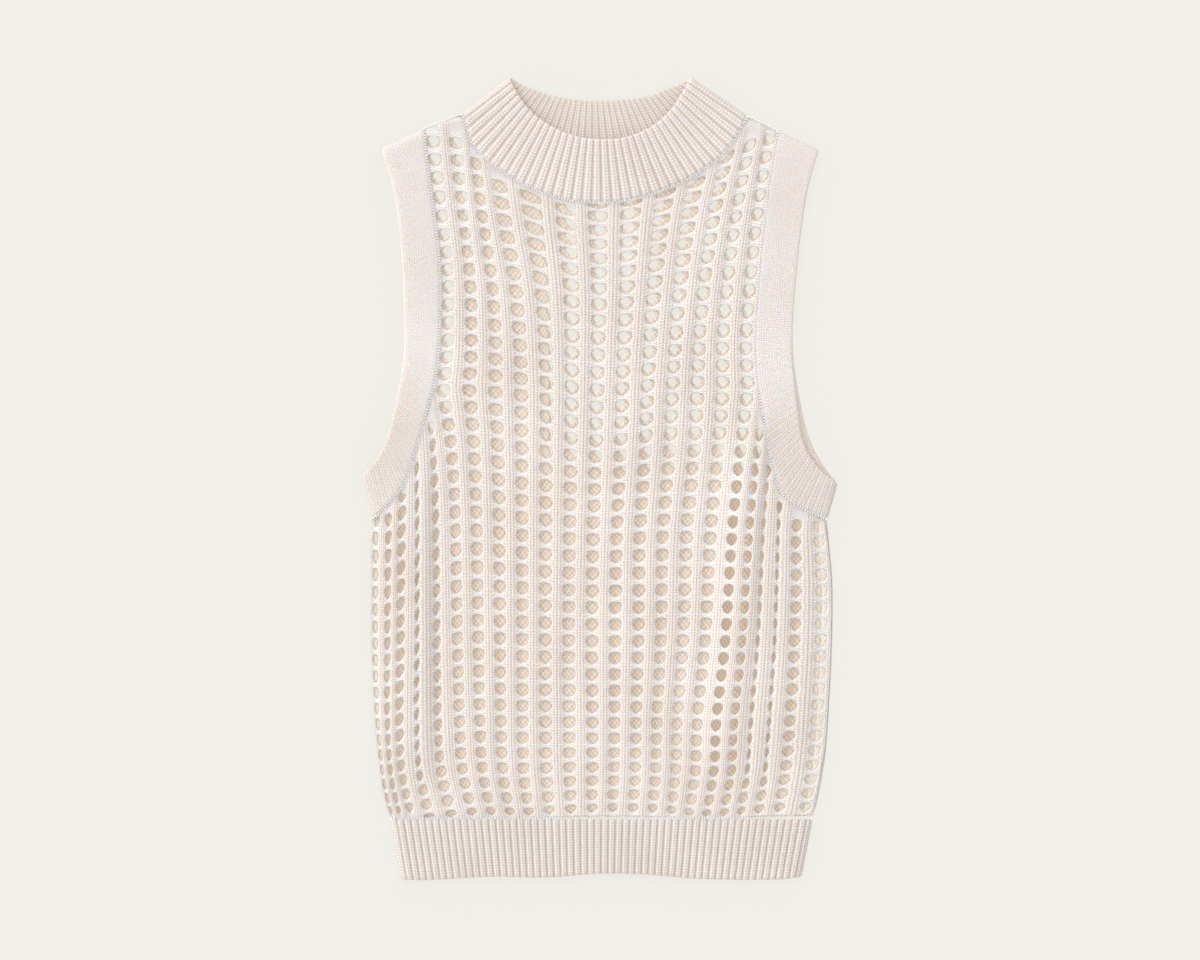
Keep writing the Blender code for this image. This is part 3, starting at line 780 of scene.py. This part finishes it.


# Relief of the knit, which also sets its painted shade, where ABOVE_NOUGHT keeps a FRACT off
# numbers below nought
COURSES_TO_A_RUNG = 6.0
PURLS_TO_A_COLUMN = 11.0
ABOVE_NOUGHT = 40.0
RIB_FROM = 0.28
RUNG_STRANDS = 11.8
RUNG_TWIST = 1.4
RUNG_RELIEF = (0.56, 0.84)
RIB_HALF = 0.20
RIB_FADE = 0.05
GROOVE_HALF = 0.035
GROOVE_RELIEF = (0.22, 0.42)
GROOVE_LINE_HALF = 0.02
PURL_RELIEF = (0.45, 0.71)
NET_BUMP = 0.75
IVORY = (0.972, 0.930, 0.903)
# The darkest colour of the knit: painted shade in its hollows and grooves
IVORY_PAINTED_SHADE = (0.66, 0.56, 0.488)
# The inner faces, between the two layers, are painted a deeper beige: painted shade.
IVORY_INSIDE_IN_PAINTED_SHADE = (0.90, 0.83, 0.76)
IVORY_INSIDE_DEEPER_PAINTED_SHADE = (0.575, 0.485, 0.40)


def net_pattern(tree, across, up, place):
    """Two wales of stitches on each rib, and two strands along each rung."""
    on_rib = calculate(tree, "FRACT", plus(tree, across, ABOVE_NOUGHT))
    wale = times(tree, minus(tree, on_rib, RIB_FROM), 2 / (1 - 2 * RIB_FROM))
    course = times(tree, up, COURSES_TO_A_RUNG)
    stitches = stitch_relief(tree, plus(tree, wale, ABOVE_NOUGHT), course)
    twist = plus(tree, times(tree, up, RUNG_STRANDS), times(tree, across, RUNG_TWIST))
    strands = between(tree, cosine_wave(tree, twist), *RUNG_RELIEF)
    off = off_middle(tree, on_rib)
    off_rib = ramp(tree, off, RIB_HALF, RIB_FADE)
    # The groove between the two wales is sunk and painted darker in dots: painted shade in the
    # groove.
    groove = minus(tree, 1.0, times(tree, off, 1 / GROOVE_HALF))
    dots = between(tree, cosine_wave(tree, course), *GROOVE_RELIEF)
    sunk_and_painted_shade = times(tree, calculate(tree, "MAXIMUM", groove, 0.0), dots)
    return mixed(tree, off_rib, minus(tree, stitches, sunk_and_painted_shade), strands)


def inside_pattern(tree, across, up, place):
    """The wrong side: rows of low purl bumps, every other row half a bump along."""
    course = times(tree, up, COURSES_TO_A_RUNG)
    row = calculate(tree, "COSINE", times(tree, course, math.pi))
    bump = calculate(tree, "COSINE", times(tree, across, PURLS_TO_A_COLUMN * math.pi))
    return between(tree, times(tree, row, bump), *PURL_RELIEF)


def rib_groove(across, up):
    """1 along the groove between a rib's two wales, 0 elsewhere."""
    off = abs(across - (math.floor(across) + 0.5))
    return 1.0 if off < GROOVE_LINE_HALF else 0.0


front = make_net(FRONT_NET, "front_openwork", front_point)
net_cotton = cotton("openwork_cotton", IVORY, IVORY_PAINTED_SHADE, net_pattern, NET_BUMP)
# The net's inner face takes a darker copy of the cotton: painted shade between the layers, seen
# through the holes.
net_cotton_inside_painted_shade = cotton(
    "openwork_cotton_inside_painted_shade", IVORY_INSIDE_IN_PAINTED_SHADE, IVORY_INSIDE_DEEPER_PAINTED_SHADE, inside_pattern, NET_BUMP
)
front.data.materials.append(net_cotton)
front.data.materials.append(net_cotton_inside_painted_shade)
thicken(front, FRONT_NET.wall)
sink_grooves(front, RIB_GROOVE, rib_groove)
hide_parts("front_body")
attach(front, "root")

# Back panel
# The back is the same cotton net, knitted with its neckline higher. It lies under the front, out
# of step with it, so that its ribs and rungs show through the front's holes.
BACK_NECK_DROP = 34.0
BACK_ROW_LAG = 0.45
BACK_ROW_LAG_ABOVE = 0.13
BACK_COLUMN_LAG = 0.46
BACK_COLUMN_LAG_ABOVE = -0.07
BACK_LAG_TOP_Y = 50.0
BACK_LAG_FADE = 70.0
BACK_LAG_COLUMN = -1.3
BACK_LAG_COLUMN_FADE = 1.6
BACK_LAG_RUNG = 26.0
BACK_LAG_RUNG_FADE = 12.0
BACK_ARMHOLE_FADE = 110.0
BACK_END_FADE = 8.0
BACK_RUNG_LIFT = 0.5
BACK_IN_FOLD = 0.7


@functools.cache
def back_end(column):
    """Where a column of the back stops: the same seams as the front, but a shallow neckline."""
    if abs(column) >= NECK_COLUMN:
        return front_end(column)
    share = (column + NECK_COLUMN) / (2 * NECK_COLUMN)
    left, right = top_end(-NECK_COLUMN), top_end(NECK_COLUMN)
    return left.lerp(right, share) - Vector((0, BACK_NECK_DROP * math.sin(math.pi * share)))


def back_edge_column(y):
    """The last column of the net at this height, which the armholes narrow."""
    below = ease((UNDERARM_Y - y) / BACK_ARMHOLE_FADE)
    return ARMHOLE_COLUMN + (SIDE_COLUMN - ARMHOLE_COLUMN) * below


def back_column_lag(column, y):
    """How far the back's columns lie beside the front's: half a cell low down and on the left."""
    low = ease((BACK_LAG_TOP_Y - y) / BACK_LAG_FADE)
    left = ease((BACK_LAG_COLUMN - column) / BACK_LAG_COLUMN_FADE)
    inside = ease((back_edge_column(y) - abs(column)) / BACK_LAG_COLUMN_FADE)
    far = max(low, left)
    return (BACK_COLUMN_LAG_ABOVE + (BACK_COLUMN_LAG - BACK_COLUMN_LAG_ABOVE) * far) * inside


def back_row_lag(row):
    """How far the back's rungs lie above the front's: close to them on the chest, less so below."""
    low = ease((BACK_LAG_RUNG - row) / BACK_LAG_RUNG_FADE)
    return BACK_ROW_LAG_ABOVE + (BACK_ROW_LAG - BACK_ROW_LAG_ABOVE) * low


BACK_NET = Net(
    hole_half_width=0.185, rung_half_height=0.19, wall=1.6, squeeze=0.0,
    lag=back_row_lag, end_of=back_end,
)


def back_point(column, row):
    """A crossing of the back net. It lies flat, but is drawn up into the left side's fold."""
    end = back_end(column)
    across, up = cell_shift(BACK_NET, column, row)
    y = net_height_up(BACK_NET, column, row + up, end)
    at = column + (across + back_column_lag(column, y)) * ease((end.y - y) / BACK_END_FADE)
    if abs(column) <= ARMHOLE_COLUMN:
        at = min(max(at, -ARMHOLE_COLUMN), ARMHOLE_COLUMN)
    else:
        end = underarm_end(at)
    place = panel_point(at, y, end, rolled=False)
    level = BACK_IN_FOLD * fold_rise(FOLDS[0], place.x, place.y)
    return Vector((place.x, place.y, level + BACK_RUNG_LIFT * (1 - rib_share(BACK_NET, column))))


back = make_net(BACK_NET, "back_openwork", back_point)
back.data.flip_normals()
# Its upper face, seen through the front's holes, takes the darker inside cotton: painted shade.
back.data.materials.append(net_cotton)
back.data.materials.append(net_cotton_inside_painted_shade)
thicken(back, BACK_NET.wall)
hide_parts("back_body")
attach(back, "root")

# Hem
# The hem is a knitted tube in one by one rib, linked to both panels and laid flat, front over back.
# Each rib is one wale of V stitches that stands up between two sunken ones.
HEM_RIBS = 58
FOLD_MIDDLE = FRONT_TOP / 2
FOLD_LEANS = (15.0, 30.0, 45.0, 60.0, 75.0)
FOLD_RIB_WIDTH = 4.0
STEPS_TO_A_RIB = 4
BAND_WALL = 1.9
BAND_BUMP = 0.6
PATH_STEPS = 120
HEM_TURN = 5.0
HEM_LEVELS = 9
HEM_COURSES = 21.0
HEM_RIDGE = 0.85
# The hem's cotton is painted deeper than the body's: painted shade, with more of it in its grooves.
IVORY_HEM_IN_PAINTED_SHADE = (0.955, 0.910, 0.873)
IVORY_HEM_DEEPER_PAINTED_SHADE = (0.60, 0.518, 0.450)
HEM_EDGE = (
    (-159.2, -320.4), (-140.0, -321.0), (-86.0, -318.2), (-44.0, -318.8), (0.0, -315.8),
    (36.0, -316.4), (80.0, -320.0), (140.0, -320.6), (161.0, -318.6),
)
# How high a rib's surface stands at each quarter of its width, from one groove to the next
RIB_PROFILE = (-0.45, 0.8, 1.0, 0.8)

Stop = namedtuple("Stop", "layer fold share lean rib")
Band = namedtuple("Band", "name turn levels courses ribs ridge lift seam_lag edges")


def smooth_path(points):
    """Plan points along a smooth curve through a few of them."""
    lengths = [0.0]
    for before, after in zip(points, points[1:]):
        lengths.append(lengths[-1] + math.dist(before, after))
    across = [(length, point[0]) for length, point in zip(lengths, points)]
    along = [(length, point[1]) for length, point in zip(lengths, points)]
    places = [lengths[-1] * step / PATH_STEPS for step in range(PATH_STEPS + 1)]
    return [Vector((smooth_value(across, at), smooth_value(along, at))) for at in places]


def path_length(path):
    return sum((after - before).length for before, after in zip(path, path[1:]))


def point_along(path, distance):
    """The plan point at this distance along a path of straight steps."""
    for before, after in zip(path, path[1:]):
        step = (after - before).length
        if distance <= step:
            return before.lerp(after, distance / step)
        distance -= step
    return path[-1].copy()


def band_stops(band):
    """The places round a flattened tube: a fold, the front, the other fold, then the back."""
    leans = [math.radians(degrees) for degrees in FOLD_LEANS]
    steps = STEPS_TO_A_RIB * band.ribs
    fold_ribs = band.turn / FOLD_RIB_WIDTH
    stops = [Stop("both", "start", 0.0, 0.0, -fold_ribs)]
    stops += [
        Stop("front", "start", 0.0, lean, fold_ribs * (lean / QUARTER_TURN - 1)) for lean in leans
    ]
    stops += [
        Stop("front", "none", step / steps, QUARTER_TURN, step / STEPS_TO_A_RIB)
        for step in range(steps + 1)
    ]
    stops += [
        Stop("front", "end", 1.0, lean, band.ribs + fold_ribs * (1 - lean / QUARTER_TURN))
        for lean in reversed(leans)
    ]
    middle = band.ribs + fold_ribs
    stops.append(Stop("both", "end", 1.0, 0.0, middle))
    stops += [
        Stop("back", "end", 1.0, lean, middle + fold_ribs * lean / QUARTER_TURN) for lean in leans
    ]
    back = middle + fold_ribs
    stops += [
        Stop("back", "none", 1 - step / steps, QUARTER_TURN, back + step / STEPS_TO_A_RIB)
        for step in range(steps + 1)
    ]
    last = back + band.ribs
    stops += [
        Stop("back", "start", 0.0, lean, last + fold_ribs * (1 - lean / QUARTER_TURN))
        for lean in reversed(leans)
    ]
    stops.append(Stop("both", "start", 0.0, 0.0, last + fold_ribs))
    return stops


def rib_height(rib):
    """A rib's outer face at this place, with nought at the middle of the relief."""
    return RIB_PROFILE[round((rib - math.floor(rib)) * STEPS_TO_A_RIB) % STEPS_TO_A_RIB]


def band_plan(path, stop, turn, lag):
    """A stop's plan point along one edge of a band."""
    length = path_length(path)
    share = stop.share - lag * math.sin(math.pi * stop.share)
    if stop.fold == "start":
        return point_along(path, turn * (1 - math.cos(stop.lean)))
    if stop.fold == "end":
        return point_along(path, length - turn * (1 - math.cos(stop.lean)))
    return point_along(path, turn + share * (length - 2 * turn))


def make_band(band, seams, material):
    """A ribbed tube laid flat. Its UV map counts ribs round it and courses up it."""
    stops = band_stops(band)
    paths = dict(zip(("front", "back"), zip(seams, band.edges)))
    levels = [level / (band.levels - 1) for level in range(band.levels)]
    plan = {}
    for number, stop in enumerate(stops):
        layers = ("front", "back") if stop.layer == "both" else (stop.layer,)
        pairs = []
        for layer in layers:
            seam, edge = paths[layer]
            foot = band_plan(seam, stop, band.turn, band.seam_lag)
            pairs.append((foot, band_plan(edge, stop, band.turn, 0.0)))
        plan[number] = [sum(places, Vector((0, 0))) / len(pairs) for places in zip(*pairs)]

    def place(number, course):
        number, share = round(number), course / band.courses
        stop = stops[number]
        foot, edge = plan[number]
        point = foot.lerp(edge, share)
        upright = math.sin(stop.lean)
        flat_part = upright if stop.fold == "none" else 0.0
        relief = band.ridge(stop.share, share) * rib_height(stop.rib) * flat_part
        if stop.layer == "back":
            level = FOLD_MIDDLE * (1 - upright) + 0.5 * band.ridge(0, 0) - 0.5 * relief
            return Vector((*point, level))
        lift = band.lift * math.sin(math.pi * stop.share) * share
        top = front_height(*point) + lift
        return Vector((*point, FOLD_MIDDLE + (top - FOLD_MIDDLE) * upright + relief))

    numbers = list(range(len(stops)))
    courses = [band.courses * level for level in levels]
    ring = knit_grid(band.name, numbers, courses, place, lambda i, j: True)
    uv = ring.data.uv_layers["UVMap"].data
    for loop in uv:
        loop.uv = (stops[round(loop.uv[0])].rib, loop.uv[1])
    ahead, out = seams[0][-1] - seams[0][0], band.edges[0][0] - seams[0][0]
    if ahead.x * out.y < ahead.y * out.x:
        ring.data.flip_normals()
    ring.data.materials.append(material)
    ring.data.materials.append(material)
    thicken(ring, BAND_WALL)
    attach(ring, "root")
    return ring


WALE_SPREAD = 1.22
WALE_HALF = 0.385
WALE_FADE = 0.05
# The sunken wales between ribs are painted darkest: painted shade in the grooves.
SUNKEN_RELIEF = (-0.1, 0.05)


def rib_pattern(tree, across, up, place):
    """One wale of V stitches on each rib, and low purl bumps between two ribs."""
    on_rib = calculate(tree, "FRACT", plus(tree, across, ABOVE_NOUGHT))
    off = off_middle(tree, on_rib)
    wale = calculate(tree, "MINIMUM", times(tree, off, WALE_SPREAD), 0.5)
    wale = plus(tree, wale, ABOVE_NOUGHT + 0.5)
    purl = between(tree, cosine_wave(tree, up), *SUNKEN_RELIEF)
    return mixed(tree, ramp(tree, off, WALE_HALF, WALE_FADE), stitch_relief(tree, wale, up), purl)


def side_seam_foot(side):
    return Vector((column_of(SIDES, "y", "left" if side < 0 else "right", HEM_SEAM_Y), HEM_SEAM_Y))


hem_seam = [side_seam_foot(-1), side_seam_foot(1)]
hem_edge = smooth_path(HEM_EDGE)
hem_band = Band(
    "hem_ribbing", HEM_TURN, HEM_LEVELS, HEM_COURSES, HEM_RIBS,
    lambda across, up: HEM_RIDGE, 0.0, 0.0, (hem_edge, hem_edge),
)
hem_cotton_painted_shade = cotton("hem_cotton_painted_shade", IVORY_HEM_IN_PAINTED_SHADE, IVORY_HEM_DEEPER_PAINTED_SHADE, rib_pattern, BAND_BUMP)
hem = make_band(hem_band, (hem_seam, hem_seam), hem_cotton_painted_shade)
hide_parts("hem_rib")

# Collar
# The mock neck is a ribbed tube too, linked to both necklines. Its front stands a little open, so
# the inside of its back shows behind it.
COLLAR_RIBS = 34
COLLAR_TURN = 5.0
COLLAR_LIFT = 6.0
COLLAR_LEVELS = 9
COLLAR_COURSES = 20.0
COLLAR_RIDGE = 0.8
BACK_NECK_STEPS = 24
JUST_INSIDE = 0.9999
COLLAR_TOP_FRONT = (
    (-72.0, 321.0), (-67.2, 310.8), (-56.0, 294.8), (-40.0, 282.4), (-20.0, 273.6), (0.0, 270.8),
    (20.0, 272.4), (40.0, 280.4), (55.0, 293.2), (65.0, 308.0), (72.0, 321.0),
)
COLLAR_TOP_BACK = (
    (-72.0, 321.0), (-56.0, 312.4), (-28.0, 304.6), (3.0, 302.8), (34.0, 305.6), (57.0, 313.8),
    (72.0, 321.0),
)
neck_columns = [column for column in net_columns(FRONT_NET) if abs(column) < NECK_COLUMN]
neck_columns = [-NECK_COLUMN, *neck_columns, NECK_COLUMN]
front_neck = [top_end(column) for column in neck_columns]
back_neck = [
    back_end(NECK_COLUMN * JUST_INSIDE * (2 * step / BACK_NECK_STEPS - 1))
    for step in range(BACK_NECK_STEPS + 1)
]
collar_band = Band(
    "collar_ribbing", COLLAR_TURN, COLLAR_LEVELS, COLLAR_COURSES, COLLAR_RIBS,
    lambda across, up: COLLAR_RIDGE, COLLAR_LIFT, 0.0,
    (smooth_path(COLLAR_TOP_FRONT), smooth_path(COLLAR_TOP_BACK)),
)
rib_cotton = cotton("collar_rib_cotton", IVORY, IVORY_PAINTED_SHADE, rib_pattern, BAND_BUMP)
collar = make_band(collar_band, (front_neck, back_neck), rib_cotton)
# The inside of the collar takes the deeper hem cotton: painted shade inside the neck.
collar.data.materials[1] = hem_cotton_painted_shade
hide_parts("neck_collar")

# Armhole bands
# Each armhole is edged with a ribbed tube, laid flat like the hem. It is stretched plain over the
# shoulder, and its low ribs fan out round the underarm. The right one shows a strip of its back.
ARMHOLE_RIBS = 52
ARMHOLE_TURN = 7.0
ARMHOLE_LEVELS = 8
ARMHOLE_COURSES = 15.0
ARMHOLE_SEAM_LAG = 0.05
ARMHOLE_RIDGE_ABOVE = 0.04
ARMHOLE_RIDGE_BELOW = 0.26
ARMHOLE_RIDGE_FROM = 0.6
ARMHOLE_RIDGE_FADE = 0.28
RIBS_TOP_Y = 10.0
RIBS_FADE = 60.0
WALES_TO_A_RIB = 2.0
PLAIN_RELIEF = (0.14, 1.0)
RIGHT_FRONT_TUCK = 6.4
TUCK_LOW = 6
CHEST_STEPS = 24
UNDERARM_STEPS = 20
LEFT_ARM_EDGE = (
    (-175.2, 263.6), (-165.6, 231.6), (-159.6, 190.0), (-156.8, 130.0), (-157.2, 96.0),
    (-164.6, 54.0), (-171.2, 30.0), (-180.8, 13.2), (-190.0, 3.0),
)
RIGHT_ARM_EDGE = (
    (175.2, 263.0), (166.4, 231.6), (160.0, 190.0), (154.8, 130.0), (155.2, 94.8),
    (162.4, 51.6), (168.6, 30.0), (178.4, 11.2), (190.0, -4.0),
)


def armhole_seam(side):
    """The armhole seam in plan, from the shoulder down to the underarm corner."""
    top = top_end(side * ARMHOLE_COLUMN)
    heights = [top.y + (UNDERARM_Y - top.y) * step / CHEST_STEPS for step in range(CHEST_STEPS)]
    chest = [panel_point(side * ARMHOLE_COLUMN, y, top) for y in heights]
    below = [
        ARMHOLE_COLUMN + (SIDE_COLUMN - ARMHOLE_COLUMN) * step / UNDERARM_STEPS
        for step in range(UNDERARM_STEPS + 1)
    ]
    return chest + [underarm_end(side * round(column, 4)) for column in below]


def armhole_ridge(across, up):
    low = ease((across - ARMHOLE_RIDGE_FROM) / ARMHOLE_RIDGE_FADE)
    return ARMHOLE_RIDGE_ABOVE + (ARMHOLE_RIDGE_BELOW - ARMHOLE_RIDGE_ABOVE) * low


def armhole_pattern(tree, across, up, place):
    """Two close wales to a rib round the underarm, and plain stitches above it."""
    split = tree.nodes.new("ShaderNodeSeparateXYZ")
    tree.links.new(place, split.inputs[0])
    above = ramp(tree, split.outputs["Y"], RIBS_TOP_Y * MM, RIBS_FADE * MM)
    wales = times(tree, across, WALES_TO_A_RIB)
    plain = stitch_relief(tree, plus(tree, wales, 2 * ABOVE_NOUGHT), up)
    plain = between(tree, plain, *PLAIN_RELIEF)
    return mixed(tree, above, rib_pattern(tree, wales, up, place), plain)


arm_cotton = cotton("armhole_rib_cotton", IVORY, IVORY_PAINTED_SHADE, armhole_pattern, BAND_BUMP)
for name, node, side, points, tuck in (
    ("armhole_ribbing_left", "armhole_band_left", -1, LEFT_ARM_EDGE, 0.0),
    ("armhole_ribbing_right", "armhole_band_right", 1, RIGHT_ARM_EDGE, RIGHT_FRONT_TUCK),
):
    edge = smooth_path(points)
    last = len(edge) - 1
    front_edge = [
        point - Vector((side * tuck * math.sin(math.pi * (number / last) ** TUCK_LOW), 0.0))
        for number, point in enumerate(edge)
    ]
    arm_band = Band(
        name, ARMHOLE_TURN, ARMHOLE_LEVELS, ARMHOLE_COURSES, ARMHOLE_RIBS, armhole_ridge, 0.0,
        ARMHOLE_SEAM_LAG, (front_edge, edge),
    )
    seam = armhole_seam(side)
    piece = make_band(arm_band, (seam, seam), arm_cotton)
    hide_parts(node)

# Linking seams
# The collar, the bands and the hem are linked to the panels: a chain of small yarn loops crosses
# each seam, front and back, and another closes each shoulder.
LOOP_PITCH = 2.3
LOOP_ALONG = 0.95
LOOP_ACROSS = 1.55
LOOP_THICK = 0.65
LOOP_LEAN = math.radians(20)
LOOP_SWAY = 0.15
LOOP_LOOKS_ON = 1.0
LOOP_SINK = 0.6
LOOP_BUMP = 0.3
PLY_TURNS = (2.0, 1.5)
PLY_RELIEF = (0.6, 0.95)
BACK_LOOP_Z = 0.75
SHOULDER_LOOP_Z = 2.7


def loop_pattern(tree, across, up, place):
    """Two plies of yarn twisted round each other."""
    turn = plus(tree, times(tree, across, PLY_TURNS[0]), times(tree, up, PLY_TURNS[1]))
    return between(tree, cosine_wave(tree, turn), *PLY_RELIEF)


def loops_along(path, height=None):
    """Where each loop of a chain lies, at a height or on the front, and how it is turned."""
    length = path_length(path)
    count = max(round(length / LOOP_PITCH), 1)
    frames = []
    for number in range(count):
        middle = (number + 0.5) * length / count
        point = point_along(path, middle)
        before = point_along(path, max(middle - LOOP_LOOKS_ON, 0.0))
        ahead = point_along(path, min(middle + LOOP_LOOKS_ON, length)) - before
        turn = math.atan2(ahead.y, ahead.x) + LOOP_LEAN + LOOP_SWAY * uneven(number, 1.0, 2.0)
        level = front_height(*point) - LOOP_SINK if height is None else height
        shift = Vector((*point, level))
        frames.append(Matrix.Translation(shift * MM) @ Matrix.Rotation(turn, 4, "Z"))
    return frames


def make_chains(name, frames, material):
    """One yarn loop, modelled once and repeated along every seam of one side."""
    bpy.ops.mesh.primitive_uv_sphere_add(segments=6, ring_count=4, radius=1.0)
    chains = bpy.context.object
    chains.name = chains.data.name = name
    bpy.ops.object.mode_set(mode="EDIT")
    bpy.ops.mesh.select_all(action="SELECT")
    bpy.ops.transform.resize(value=(LOOP_ALONG * MM, LOOP_ACROSS * MM, LOOP_THICK * MM))
    bpy.ops.object.mode_set(mode="OBJECT")
    loop, every = chains.data.copy(), bmesh.new()
    for at in frames:
        loop.transform(at)
        every.from_mesh(loop)
        loop.transform(at.inverted())
    every.to_mesh(chains.data)
    every.free()
    bpy.data.meshes.remove(loop)
    bpy.ops.object.shade_smooth()
    chains.data.materials.append(material)
    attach(chains, "root")
    return chains


seams = [hem_seam, armhole_seam(-1), armhole_seam(1)]
shoulders = [[Vector((end.x, end.y)) for end in ends] for ends in (LEFT_SHOULDER, RIGHT_SHOULDER)]
loop_cotton = cotton("linking_yarn", IVORY, IVORY_PAINTED_SHADE, loop_pattern, LOOP_BUMP)
front_frames = [at for seam in (*seams, front_neck) for at in loops_along(seam)]
front_frames += [at for seam in shoulders for at in loops_along(seam, SHOULDER_LOOP_Z)]
back_frames = [at for seam in (*seams, back_neck) for at in loops_along(seam, BACK_LOOP_Z)]
make_chains("linking_front", front_frames, loop_cotton)
make_chains("linking_back", back_frames, loop_cotton)
